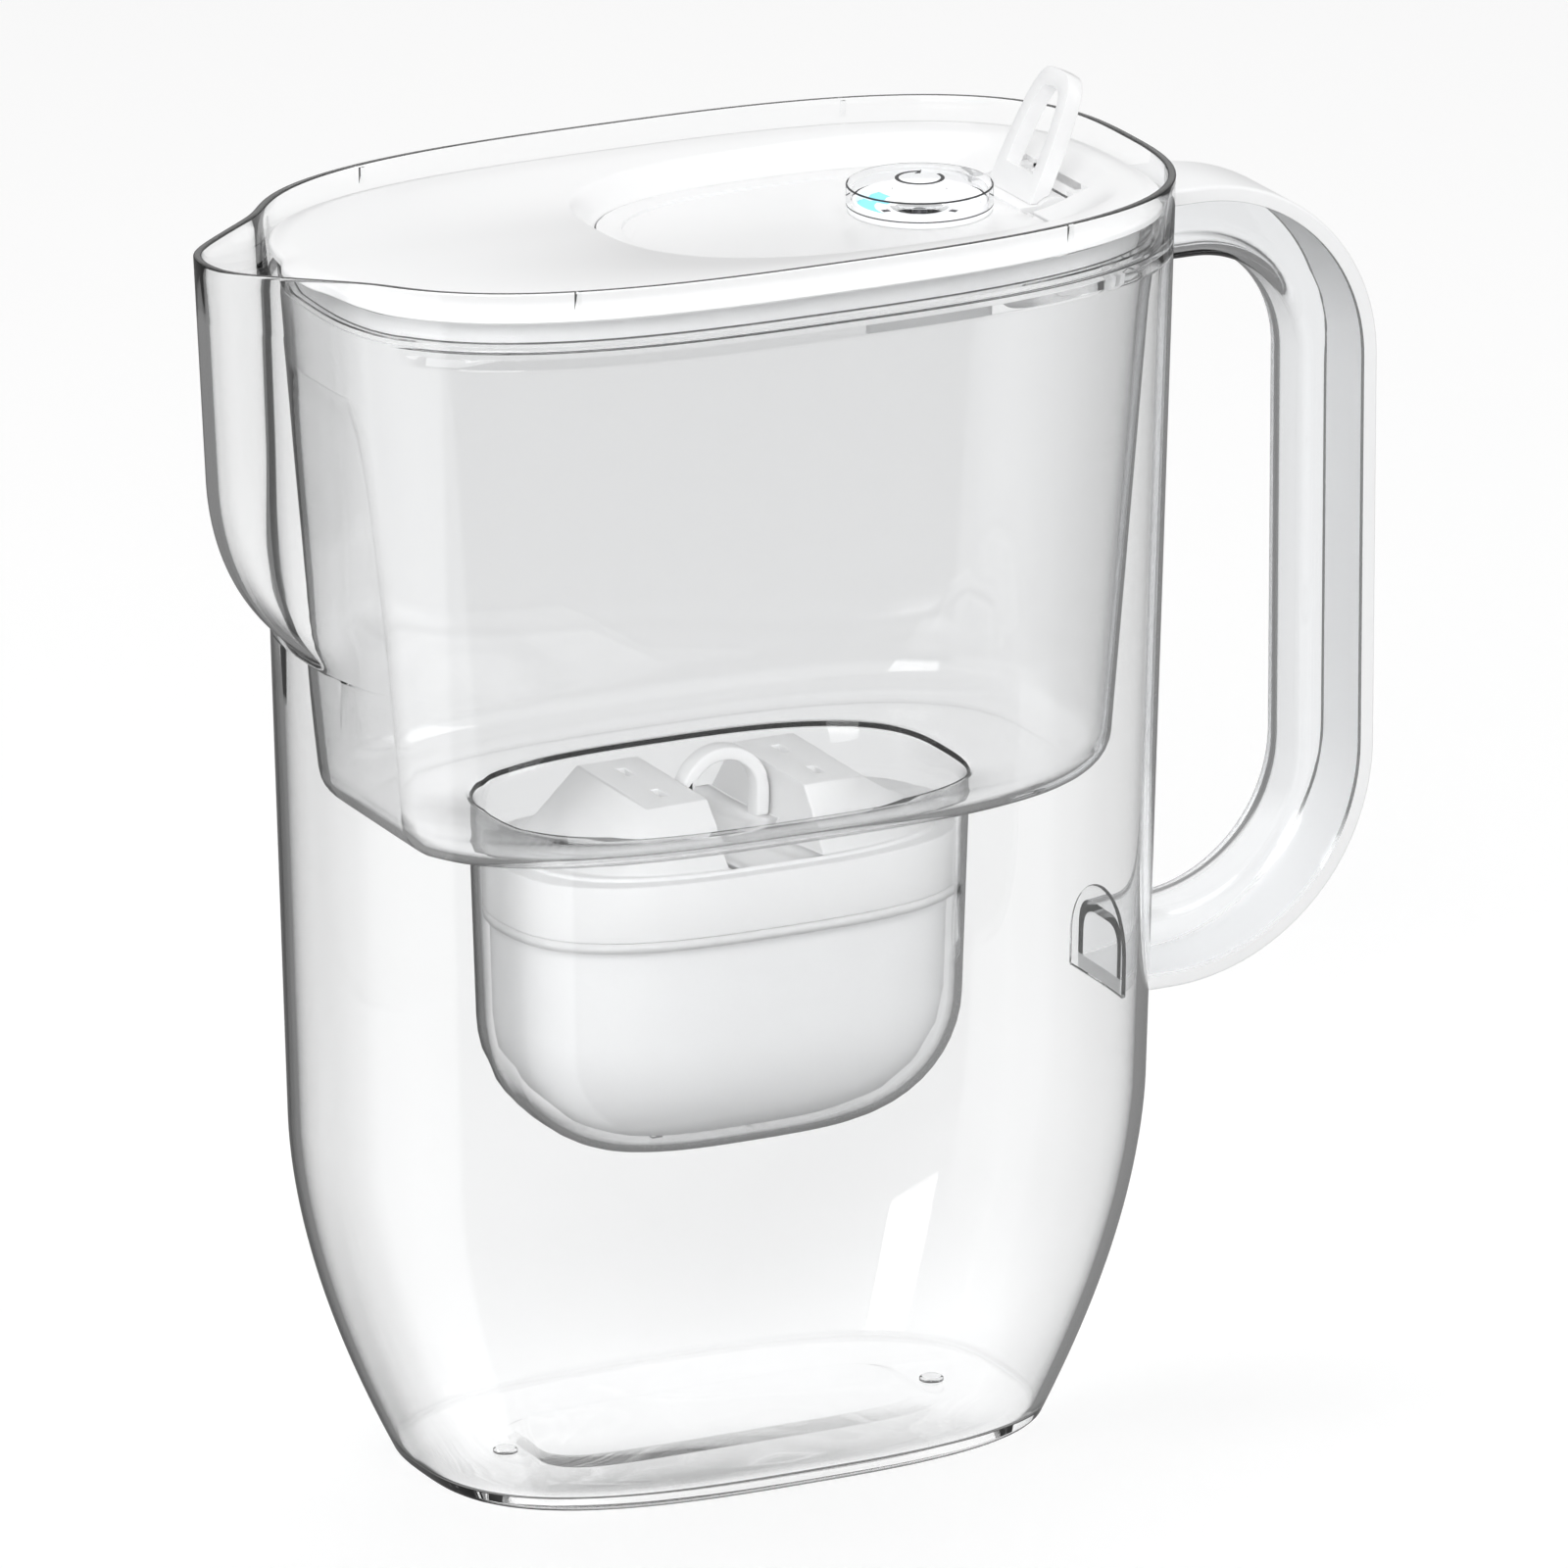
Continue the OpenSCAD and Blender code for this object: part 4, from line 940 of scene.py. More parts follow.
@dataclass(frozen=True)
class Grip:
    """The D-shaped grip: a clear channel, rounded towards the fingers, under a white cover strip."""

    outer_x: float = 149.5
    width: float = 21.6
    depth: float = 16.3
    top: float = 261.0
    bottom: float = 85.8
    top_radius: float = 42.0
    bottom_radius: float = 48.0
    cover: float = 3.2
    channel_wall: float = 2.2
    channel_radius: float = 9.4
    cover_round: float = 0.9
    root_width: float = 26.8
    root_height: float = 21.0
    pad: float = 1.0
    gap: float = 0.15

    def build(self, palette: Palette, form: JugForm) -> None:
        """Builds the grip's pieces.

        Args:
            palette: The finishes.
            form: The jug's form, which the grip ends on.
        """
        low_face = form.half_length(self.bottom + self.root_height) + self.pad
        top_face = form.half_length(self.top) + self.pad
        path = self.stations(low_face + self.gap, top_face + self.gap)
        channel = sweep("grip_channel", path, self.channel_outline(), sharp=50.0)
        place_piece(channel, "jug", palette.grip, ["handle_channel"])
        w, c = self.width / 2, self.cover
        strip = round_corners([(0, -w), (c, -w), (c, w), (0, w)],
                              [self.cover_round, 0, 0, self.cover_round], 4, True)
        cover = sweep("grip_cover", path, strip, sharp=50.0)
        place_piece(cover, "jug", palette.cover, ["handle_cover"])
        self.pads(palette, form, low_face, top_face)

    def stations(self, low_end: float, top_end: float) -> list[tuple[Vector, Vector, Vector]]:
        """Stations round the D, from the lower end to the upper one."""
        low_x, low_z = self.outer_x - self.bottom_radius, self.bottom + self.bottom_radius
        top_x, top_z = self.outer_x - self.top_radius, self.top - self.top_radius
        side = Vector((0, 1, 0))
        made = [(Vector((low_end, 0, self.bottom)), Vector((0, 0, 1)), side)]
        for x, z, r, start in ((low_x, low_z, self.bottom_radius, -90),
                               (top_x, top_z, self.top_radius, 0)):
            for k in range(31):
                t = math.radians(start + 3 * k)
                out = Vector((math.cos(t), 0, math.sin(t)))
                made.append((Vector((x, 0, z)) + out * r, -out, side))
        made.append((Vector((top_end, 0, self.top)), Vector((0, 0, -1)), side))
        return made

    def channel_outline(self) -> list[Flat]:
        """Outline of the clear channel: depth from the grip's outer face, and side."""
        w, d, t, low = self.width / 2, self.depth, self.channel_wall, self.cover + 0.05
        outer = round_corners([(low, -w), (d, -w), (d, w), (low, w)],
                              [0, self.channel_radius, self.channel_radius, 0], 10)
        inner_radius = self.channel_radius - t
        inner = round_corners([(low, w - t), (d - t, w - t), (d - t, t - w), (low, t - w)],
                              [0, inner_radius, inner_radius, 0], 10)
        return outer + inner

    def pads(self, palette: Palette, form: JugForm, low_face: float, top_face: float) -> None:
        """Builds the pads on the wall that the grip's ends are seated on."""
        half, h = self.root_width / 2, self.root_height
        arch = [(half * math.cos(t), h - half + half * math.sin(t))
                for t in (math.radians(a) for a in range(0, 181, 9))]
        lower = [(y, self.bottom + z) for y, z in [(half, 0)] + arch + [(-half, 0)]]
        w = self.width / 2 + 1
        low, high = self.top - self.depth - 1, self.top + 1
        upper = [(-w, low), (w, low), (w, high), (-w, high)]
        for name, outline, face in (("lower_pad", lower, low_face), ("upper_pad", upper, top_face)):
            rings = [[(self.wall_x(form, y, z), y, z) for y, z in outline],
                     [(face, y, z) for y, z in outline]]
            pad = soften(loft(name, rings), 0.4)
            place_piece(pad, "jug", palette.jug)

    @staticmethod
    def wall_x(form: JugForm, y: float, z: float) -> float:
        """Distance of the handle-side wall's outside from the centre plane, just clear of it."""
        a, b = form.half_length(z), form.half_width(z)
        return a * (1 - (abs(y) / b) ** form.power) ** (1 / form.power) + 0.02


# ---------------------------------------------------------------------------------------------- funnel


@dataclass(frozen=True)
class FunnelForm:
    """The funnel: tapering wall with a pouring face, lip and collar, and the filter cup below."""

    jug: JugForm = JugForm()
    floor_z: float = 142.4
    floor_length: float = 165.2
    floor_width: float = 99.2
    floor_radius: float = 9.0
    wall: float = 1.8
    ledge_z: float = 257.7
    top_inset: float = 4.0
    lip_gap: float = 0.3
    lip: float = 1.6
    lip_inset: float = 2.1
    collar: float = 4.1
    scoop_in: float = 2.2
    scoop_low: float = 11.0
    scoop_top: float = 242.0
    cup_length: float = 106.0
    cup_width: float = 65.0
    cup_z: float = 68.0
    cup_draft: float = 2.2
    cup_radius_length: float = 27.0
    cup_radius_width: float = 20.0
    cup_wall: float = 1.5
    plain_edge: float = 8.0
    drain_count: int = 5
    drain_width: float = 2.4
    drain_length: float = 14.0
    drain_pitch: float = 9.0

    @property
    def lip_z(self) -> float:
        """Height of the lip's underside."""
        return self.ledge_z + self.lip_gap

    @property
    def top(self) -> float:
        """Height of the collar's top."""
        return self.lip_z + self.lip + self.collar

    def half_length(self, z: float) -> float:
        """Half length of the wall at a height."""
        t = (z - self.floor_z) / (self.ledge_z - self.floor_z)
        return lerp(self.floor_length / 2, self.jug.half_length(self.ledge_z) - self.top_inset, t)

    def half_width(self, z: float) -> float:
        """Half width of the wall at a height."""
        t = (z - self.floor_z) / (self.ledge_z - self.floor_z)
        return lerp(self.floor_width / 2, self.jug.half_width(self.ledge_z) - self.top_inset, t)

    def scoop_x(self, z: float) -> float:
        """Distance of the pouring face from the centre at a height."""
        if z > self.scoop_top:
            return 1000.0
        low = self.floor_z + self.scoop_low
        u = max(0.0, (z - low) / (self.scoop_top - low))
        return self.half_length(z) - self.scoop_in * math.sqrt(max(0.0, 1 - u ** 3))

    def angles(self, z: float) -> list[float]:
        """Angles of the wall's points, with one on each edge of the pouring face."""
        a, b, x = self.half_length(z), self.half_width(z), self.scoop_x(z)
        edge = self.plain_edge
        if x < a:
            y = b * (1 - (x / a) ** self.jug.power) ** (1 / self.jug.power)
            edge = max(self.plain_edge, math.degrees(math.atan2(y, x)))
        return both_sides(spread(0, edge, 9)[:-1] + spread(edge, 180, 92))

    def wall_ring(self, z: float, inset: float) -> Ring:
        """The wall's section, with the pouring face."""
        a, b, x = self.half_length(z) - inset, self.half_width(z) - inset, self.scoop_x(z) - inset
        made: Ring = []
        for t in self.angles(z):
            radius = oval(t, a, b, self.jug.power)
            if abs(t) < 80:
                radius = min(radius, x / math.cos(math.radians(t)))
            made.append(spot(t, radius, z))
        return made

    def plain_ring(self, z: float, a: float, b: float) -> Ring:
        """A plain superellipse section."""
        edge = self.plain_edge
        angles = both_sides(spread(0, edge, 9)[:-1] + spread(edge, 180, 92))
        return oval_ring(z, a, b, angles, power=self.jug.power)

    def cup_ring(self, z: float, inset: float) -> Ring:
        """A section of the cup above its rounded bottom."""
        draw = self.cup_draft * (self.floor_z - z) / (self.floor_z - self.cup_z) + inset
        return self.plain_ring(z, self.cup_length / 2 - draw, self.cup_width / 2 - draw)

    def cup_bottom(self, inset: float, lift: float) -> list[Ring]:
        """Rings of the cup's rounded bottom, from the wall down."""
        made = []
        for angle in range(0, 91, 7):
            t = math.radians(min(90, angle))
            rl, rw = self.cup_radius_length - inset, self.cup_radius_width - inset
            z = self.cup_z + lift + rl * (1 - math.sin(t))
            draw = self.cup_draft * (self.floor_z - z) / (self.floor_z - self.cup_z) + inset
            made.append(self.plain_ring(z, self.cup_length / 2 - draw - rl * (1 - math.cos(t)),
                                        self.cup_width / 2 - draw - rw * (1 - math.cos(t))))
        return made


@dataclass(frozen=True)
class Funnel:
    """The clear funnel that hangs in the jug's rim and holds the cartridge."""

    form: FunnelForm = FunnelForm()

    def build(self, palette: Palette) -> None:
        """Builds the funnel's pieces.

        Args:
            palette: The finishes.
        """
        place_piece(self.shell(), "funnel", palette.funnel, ["funnel"])

    def shell(self) -> bpy.types.Object:
        """Returns the wall, lip, floor and cup as one closed mesh with its drain slots."""
        f = self.form
        low = f.floor_z + f.scoop_low
        heights = spread(low, f.scoop_top, 26) + [f.scoop_top + 0.3, 250.0, f.lip_z]
        top_a, top_b = f.half_length(f.lip_z + f.lip), f.half_width(f.lip_z + f.lip)
        lip_a = f.jug.half_length(f.lip_z) - f.lip_inset
        lip_b = f.jug.half_width(f.lip_z) - f.lip_inset
        outside = list(reversed(f.cup_bottom(0, 0)))
        outside += [f.cup_ring(z, 0) for z in spread(f.cup_z + f.cup_radius_length + 4, f.floor_z - 1.2, 6)]
        outside += [f.cup_ring(f.floor_z - 0.4, -0.4),
                    f.plain_ring(f.floor_z, f.cup_length / 2 + 1.2, f.cup_width / 2 + 1.2)]
        for angle in range(90, -1, -10):
            t = math.radians(angle)
            outside.append(f.wall_ring(f.floor_z + f.floor_radius * (1 - math.sin(t)),
                                       f.floor_radius * (1 - math.cos(t))))
        outside += [f.wall_ring(z, 0) for z in heights]
        lip_top = f.lip_z + f.lip
        top = [f.plain_ring(z, lip_a - inset, lip_b - inset)
               for z, inset in ((f.lip_z, 0.3), (f.lip_z + 0.3, 0), (lip_top - 0.3, 0), (lip_top, 0.3))]
        top += [f.plain_ring(z, top_a - inset, top_b - inset)
                for z, inset in ((lip_top, 0), (f.top - 0.4, 0), (f.top, 0.4), (f.top, f.wall - 0.4),
                                 (f.top - 0.4, f.wall))]
        inside = [f.wall_ring(z, f.wall) for z in reversed(heights)]
        r = f.floor_radius - f.wall
        for angle in range(10, 91, 10):
            t = math.radians(angle)
            inside.append(f.wall_ring(f.floor_z + f.wall + r * (1 - math.sin(t)),
                                      f.wall + r * (1 - math.cos(t))))
        mouth_z = f.floor_z + f.wall
        inside += [f.plain_ring(mouth_z - drop, f.cup_length / 2 + grow, f.cup_width / 2 + grow)
                   for drop, grow in ((0, 0.6), (0.5, -0.4), (2.2, -1.2))]
        low = f.cup_z + f.cup_radius_length + 4
        inside += [f.cup_ring(z, f.cup_wall) for z in spread(f.floor_z - 3, low, 6)]
        inside += f.cup_bottom(f.cup_wall, f.cup_wall)
        piece = loft("funnel_wall", outside + top + inside, sharp=38.0)
        slots = []
        for i in range(f.drain_count):
            x = (i - (f.drain_count - 1) / 2) * f.drain_pitch
            slots.append(block(f"slot_{i}", (x - f.drain_width / 2, -f.drain_length / 2, f.cup_z - 1),
                               (x + f.drain_width / 2, f.drain_length / 2, f.cup_z + f.cup_wall + 1)))
        return cut(piece, slots)


# ------------------------------------------------------------------------------------------- cartridge


@dataclass(frozen=True)
class Cartridge:
    """The filter cartridge: its CAD nodes with their finishes."""

    def build(self, frame: Frame, palette: Palette) -> None:
        """Dresses the cartridge's nodes.

        Args:
            frame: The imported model, as it was loaded.
            palette: The finishes.
        """
        for node, material, edge in (
            ("cartridge_cap", palette.cap, 1.1), ("cartridge_loop", palette.cap, 0.6),
            ("cartridge_shell", palette.shell, 0.0), ("cartridge_seal", palette.seal, 0.0),
            ("upper_screen", palette.screen, 0.0), ("lower_screen", palette.screen, 0.0),
            ("filter_media", palette.grains, 0.0),
        ):
            dress_node(frame, node, material, edge)


# ------------------------------------------------------------------------------------------------- lid


@dataclass(frozen=True)
class Lid:
    """The white lid: plate with dish, skirt and flap ledge, hinge lugs, thumb loop's slope, latch ears."""

    jug: JugForm = JugForm()
    funnel: FunnelForm = FunnelForm()
    rim_wall: float = 1.6
    gap: float = 0.8
    seat_gap: float = 0.3
    thickness: float = 2.0
    rise: float = 1.0
    tip: float = 97.2
    skirt_height: float = 6.0
    skirt: float = 1.6
    skirt_gap: float = 0.6
    dish_x: float = 29.5
    dish_length: float = 116.0
    dish_width: float = 80.0
    dish_power: float = 2.6
    flap_x: float = 26.0
    flap_length: float = 98.0
    flap_width: float = 67.0
    flap_gap: float = 0.4
    heel_gap: float = 1.2
    ledge: float = 2.5
    flap_top: float = 262.0
    flap_thickness: float = 2.2
    hinge_x: float = 73.0
    hinge_z: float = 258.0
    barrel_radius: float = 5.4
    barrel_length: float = 22.0
    barrel_gap: float = 0.6
    lug: float = 3.4
    lug_radius: float = 3.4
    thumb_half: float = 10.8
    thumb_reach: float = 29.5
    slope_angle: float = 64.5
    slope_lift: float = 2.35

    @property
    def z(self) -> float:
        """Height of the plate's underside at its edge."""
        return self.funnel.top + self.seat_gap

    @property
    def top(self) -> float:
        """Height of the plate's flat top."""
        return self.z + self.thickness + self.rise

    @property
    def heel_x(self) -> float:
        """Place of the flap opening's straight edge."""
        return self.hinge_x - 8 + self.heel_gap

    def edge_ring(self, z: float, inset: float) -> Ring:
        """The plate's outline."""
        a = self.jug.half_length(self.z) - self.rim_wall - self.gap - inset
        b = self.jug.half_width(self.z) - self.rim_wall - self.gap - inset
        apex = self.tip + self.jug.spout_apex - self.jug.spout_tip - 1.5 * inset
        return [spot(t, self.jug.nosed(t, a, b, self.tip - inset, apex), z) for t in JUG_ANGLES]

    def dish_ring(self, z: float, grow: float) -> Ring:
        """The dish's outline."""
        return oval_ring(z, self.dish_length / 2 + grow, self.dish_width / 2 + grow, JUG_ANGLES,
                         self.dish_x, self.dish_power)

    def flap_ring(self, z: float, grow: float, heel: float) -> Ring:
        """The flap's outline, cut off straight at its heel."""
        ring = oval_ring(z, self.flap_length / 2 + grow, self.flap_width / 2 + grow, JUG_ANGLES,
                         self.flap_x, self.dish_power)
        return [(min(x, heel), y, h) for x, y, h in ring]

    def skirt_ring(self, z: float, inset: float) -> Ring:
        """The skirt's outline, inside the funnel's collar."""
        f = self.funnel
        height = f.lip_z + f.lip
        draw = f.wall + self.skirt_gap + inset
        return oval_ring(z, f.half_length(height) - draw, f.half_width(height) - draw, JUG_ANGLES,
                         power=self.jug.power)

    def dish_wall(self) -> list[Ring]:
        """Rings from the dish's soft outer edge down to the flap's edge."""
        outer, inner = self.dish_ring(0, 0), self.flap_ring(0, self.flap_gap, self.heel_x)
        made = []
        for k in range(1, 15):
            t = k / 15
            drop = smooth(t) * 0.75 + t * 0.25
            made.append([(lerp(p[0], q[0], t), lerp(p[1], q[1], t), lerp(self.top, self.flap_top, drop))
                         for p, q in zip(outer, inner)])
        return made

    def build(self, frame: Frame, palette: Palette) -> None:
        """Builds the lid's pieces.

        Args:
            frame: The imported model, as it was loaded.
            palette: The finishes.
        """
        place_piece(self.plate(), "lid", palette.lid, ["lid_plate"])
        place_piece(self.bracket(), "lid", palette.lid)
        dress_node(frame, "lid_latches", palette.lid, 0.3)
        dress_node(frame, "hinge_pin", palette.steel, 0.2)

    def plate(self) -> bpy.types.Object:
        """Returns the plate with its skirt, dish and flap ledge, cut for the hinge."""
        edge = self.z + self.thickness
        seat = self.flap_top - self.flap_thickness - 0.3
        heel = self.heel_x
        rings = [self.skirt_ring(self.z - self.skirt_height, 0), self.skirt_ring(self.z, 0),
                 self.edge_ring(self.z, 0.3), self.edge_ring(self.z + 0.3, 0), self.edge_ring(edge - 0.8, 0)]
        for angle in range(15, 91, 15):
            t = math.radians(angle)
            rings.append(self.edge_ring(edge - 0.8 + 0.8 * math.sin(t), 0.8 * (1 - math.cos(t))))
        for k in range(1, 7):
            height = lerp(edge, self.top, math.sin(math.radians(k * 15)))
            rings.append(self.edge_ring(height, 0.8 + 4.2 * k / 6))
        rings += [self.dish_ring(self.top, 0)] + self.dish_wall()
        rings += [self.flap_ring(self.flap_top, self.flap_gap + 0.2, heel + 0.2),
                  self.flap_ring(self.flap_top - 0.2, self.flap_gap, heel),
                  self.flap_ring(seat, self.flap_gap, heel),
                  self.flap_ring(seat, -self.ledge, heel - self.ledge),
                  self.flap_ring(seat - 1.4, -self.ledge, heel - self.ledge),
                  self.flap_ring(seat - 1.4, self.flap_gap + 1, heel + 1),
                  self.dish_ring(self.top - self.thickness - 0.8, 1),
                  self.skirt_ring(self.z - 0.2, self.skirt),
                  self.skirt_ring(self.z - self.skirt_height, self.skirt)]
        piece = loft("lid_top", rings, closed=True, sharp=34.0)
        half = self.barrel_length / 2 + 0.3 + self.lug - 0.6
        reach = self.hinge_x + self.barrel_radius + self.barrel_gap
        notch = block("notch", (heel - self.ledge - 1, -half, self.hinge_z - 10),
                      (reach, half, self.hinge_z + 20))
        return cut(piece, [notch, self.thumb_space()])

    def thumb_space(self) -> bpy.types.Object:
        """Returns the space that the thumb loop needs behind it when the flap is open."""
        t = math.radians(self.slope_angle)
        low, high = -self.slope_lift - self.thumb_reach, -self.slope_lift
        corners = [(self.hinge_x + along * math.sin(t) + out * math.cos(t),
                    self.hinge_z + along * math.cos(t) - out * math.sin(t))
                   for along, out in ((0, low), (self.thumb_reach, low), (self.thumb_reach, high), (0, high))]
        sides = (-self.thumb_half, self.thumb_half)
        return loft("thumb_space", [[(x, y, z) for x, z in corners] for y in sides])

    def barrel_space(self, half: float) -> bpy.types.Object:
        """Returns the round space that the hinge barrel turns in."""
        r = self.barrel_radius + self.barrel_gap
        circle = [(self.hinge_x + r * math.cos(t), self.hinge_z + r * math.sin(t))
                  for t in (math.tau * k / 72 for k in range(72))]
        return loft("barrel_space", [[(x, y, z) for x, z in circle] for y in (-half, half)])

    def bracket(self) -> bpy.types.Object:
        """Returns the hinge lugs, their web and the slope's lower part, as the CAD solid has them."""
        inner = self.barrel_length / 2 + 0.3
        outer = inner + self.lug
        x = self.hinge_x + self.barrel_radius + self.barrel_gap
        f = self.funnel
        end = f.half_length(f.lip_z + f.lip) - f.wall - self.skirt_gap - self.skirt / 2
        heel = block("heel", (self.hinge_x + self.barrel_radius / 2, -outer, self.hinge_z + 0.8),
                     (end, outer, self.hinge_z + 6.3))
        web = block("web", (x, -outer, self.hinge_z - self.lug_radius), (x + 1.6, outer, self.hinge_z + 3.5))
        parts = [cut(heel, [self.thumb_space(), self.barrel_space(inner)]), web]
        for side in (-1, 1):
            y0, y1 = sorted((side * inner, side * outer))
            arc = [(self.hinge_x + self.lug_radius * math.cos(math.radians(a)),
                    self.hinge_z + self.lug_radius * math.sin(math.radians(a))) for a in range(90, 271, 10)]
            arc += [(x + 1.5, self.hinge_z - self.lug_radius), (x + 1.5, self.flap_top - 0.3),
                    (self.hinge_x, self.flap_top - 0.3)]
            parts.append(loft("lug", [[(px, y, pz) for px, pz in arc] for y in (y0, y1)]))
        return join("hinge_bracket", parts)


def join(name: str, parts: Sequence[bpy.types.Object]) -> bpy.types.Object:
    """Joins pieces into one object.

    Args:
        name: The new object's name.
        parts: Mesh objects, which are removed.

    Returns:
        The joined object.
    """
    form = bmesh.new()
    for part in parts:
        form.from_mesh(part.data)
        bpy.data.objects.remove(part, do_unlink=True)
    mesh = bpy.data.meshes.new(name)
    form.to_mesh(mesh)
    form.free()
    shade(mesh)
    return add_object(name, mesh)


# ------------------------------------------------------------------------------------------------ flap


@dataclass(frozen=True)
class Flap:
    """The flip-up flap with its hinge barrel, and the thumb loop."""

    edge: float = 0.35
    loop_edge: float = 0.7

    def build(self, frame: Frame, palette: Palette) -> None:
        """Dresses the flap's CAD nodes.

        Args:
            frame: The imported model, as it was loaded.
            palette: The finishes.
        """
        dress_node(frame, "flap_panel", palette.lid, self.edge)
        dress_node(frame, "thumb_lever", palette.lid, self.loop_edge, 40.0)


# ------------------------------------------------------------------------------------------- indicator


@dataclass(frozen=True)
class Indicator:
    """The change indicator: clear domed button over a printed dial, and what is inside its housing."""

    x: float = 46.9
    radius: float = 15.4
    base_z: float = 261.3
    flange: float = 0.5
    film: float = 0.2
    press: float = 0.6
    height: float = 5.7
    dome: float = 1.2
    wall: float = 1.2
    pillar: float = 5.6
    mark_radius: float = 5.2
    mark_bar: float = 0.8
    ring_in: float = 9.4
    ring_out: float = 13.15
    # Width of the black band painted on the button's edges as shade.
    edge_shade_band: float = 0.28
    arcs: tuple[tuple[str, float, float], ...] = (
        ("blue", 103, 250), ("grey", 250.5, 257.5), ("red", 258, 286),
    )

    @property
    def top(self) -> float:
        """Height of the button's edge."""
        return self.base_z + self.height

    @property
    def dial_z(self) -> float:
        """Height of the dial's face."""
        return self.base_z + self.flange + self.film

    def build(self, frame: Frame, palette: Palette) -> None:
        """Builds the indicator's pieces.

        Args:
            frame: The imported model, as it was loaded.
            palette: The finishes.
        """
        button = place_piece(self.button(), "button", palette.button, ["indicator_button"])
        # The edge faces wear the black material: painted shade for the dark lines on the clear button's rims.
        button.data.materials.append(palette.ink)
        for face in button.data.polygons:
            face.material_index = int(self.in_painted_edge_shade(face.center / MM))
        place_piece(self.mark(), "button", palette.ink)
        for colour, start, end in self.arcs:
            arc = self.arc(f"dial_{colour}", start, end)
            place_piece(arc, "flap", getattr(palette, colour))
        for node, material, edge in (
            ("indicator_dial", palette.dial, 0.0), ("indicator_housing", palette.cover, 0.2),
            ("indicator_board", palette.board, 0.0), ("indicator_leds", palette.dark, 0.0),
            ("reset_switch", palette.dark, 0.2), ("coin_cell", palette.steel, 0.2),
            ("battery_cover", palette.cover, 0.2), ("battery_seal", palette.seal, 0.0),
        ):
            dress_node(frame, node, material, edge)

    def in_painted_edge_shade(self, place: Vector) -> bool:
        """True on the button's outer edges, which are painted black as shade for the dark lines that clear
        plastic shows there.
        """
        outside = math.hypot(place.x - self.x, place.y) > self.radius - self.edge_shade_band
        return outside and not self.foot + self.edge_shade_band < place.z < self.top - self.edge_shade_band

    @property
    def foot(self) -> float:
        """Height of the button's lower edge."""
        return self.dial_z + self.press + 0.1

    def dome_z(self, r: float) -> float:
        """Height of the dome at a distance from the axis."""
        ball = (self.radius ** 2 + self.dome ** 2) / (2 * self.dome)
        return self.top - ball + self.dome + math.sqrt(ball * ball - r * r)

    def button(self) -> bpy.types.Object:
        """Returns the clear button: dome, wall and the pillar under the dome."""
        low = self.foot
        r, inner = self.radius, self.radius - self.wall
        # Extra rings mark off the band on the rims that is painted black as shade.
        edge = [(r, low), (r, low + self.edge_shade_band), (r, self.top - self.edge_shade_band), (r - 0.08, self.top - 0.08),
                (r - self.edge_shade_band, self.dome_z(r - self.edge_shade_band))]
        dome = [(d, self.dome_z(d)) for d in spread(r - 1.5, 0.0, 14)]
        profile = [(0.0, low + 0.1), (self.pillar - 0.3, low + 0.1), (self.pillar, low + 0.4),
                   (self.pillar, self.top - self.wall - 0.3), (self.pillar + 0.3, self.top - self.wall),
                   (inner - 0.4, self.top - self.wall), (inner, self.top - self.wall - 0.4), (inner, low)]
        return lathe("button_dome", (self.x, 0, 0), profile + edge + dome, 128, 40.0)

    def mark(self) -> bpy.types.Object:
        """Returns the round arrow printed on the button, a generic sign for starting anew."""
        r0, r1 = self.mark_radius - self.mark_bar, self.mark_radius
        points: list[Point] = []
        angles = spread(60, 370, 63)
        for a in angles:
            t = math.radians(a)
            for r in (r0, r1):
                for lift in (0.02, 0.1):
                    points.append((self.x + r * math.cos(t), r * math.sin(t), self.dome_z(r) + lift))
        faces = [[0, 1, 3, 2], [len(points) - 4, len(points) - 2, len(points) - 1, len(points) - 3]]
        for i in range(len(angles) - 1):
            a, b = 4 * i, 4 * (i + 1)
            faces += [[a, b, b + 1, a + 1], [a + 2, a + 3, b + 3, b + 2], [a + 1, b + 1, b + 3, a + 3],
                      [a, a + 2, b + 2, b]]
        middle, start = (r0 + r1) / 2, math.radians(60)
        head = [(middle - 1.5, 0.0), (middle + 1.5, 0.0), (middle, -2.4)]
        base = len(points)
        for lift in (0.02, 0.1):
            for r, along in head:
                x = r * math.cos(start) + along * math.sin(start)
                y = r * math.sin(start) + along * math.cos(start)
                points.append((self.x + x, y, self.dome_z(math.hypot(x, y)) + lift))
        tip = [[0, 2, 1], [3, 4, 5], [0, 1, 4, 3], [1, 2, 5, 4], [2, 0, 3, 5]]
        faces += [[base + corner for corner in face] for face in tip]
        return add_mesh("button_mark", points, faces)

    def arc(self, name: str, start: float, end: float) -> bpy.types.Object:
        """A printed arc on the dial.

        Args:
            name: The arc's name.
            start: Its first angle in degrees, from the handle side.
            end: Its last angle.

        Returns:
            The arc.
        """
        angles = spread(start, end, 49)
        edge = [(self.ring_in, a) for a in angles] + [(self.ring_out, a) for a in reversed(angles)]
        outline = [(self.x + r * math.cos(math.radians(a)), r * math.sin(math.radians(a))) for r, a in edge]
        return prism(name, outline, self.dial_z + 0.01, self.dial_z + 0.06)


# ---------------------------------------------------------------------------------------------- studio


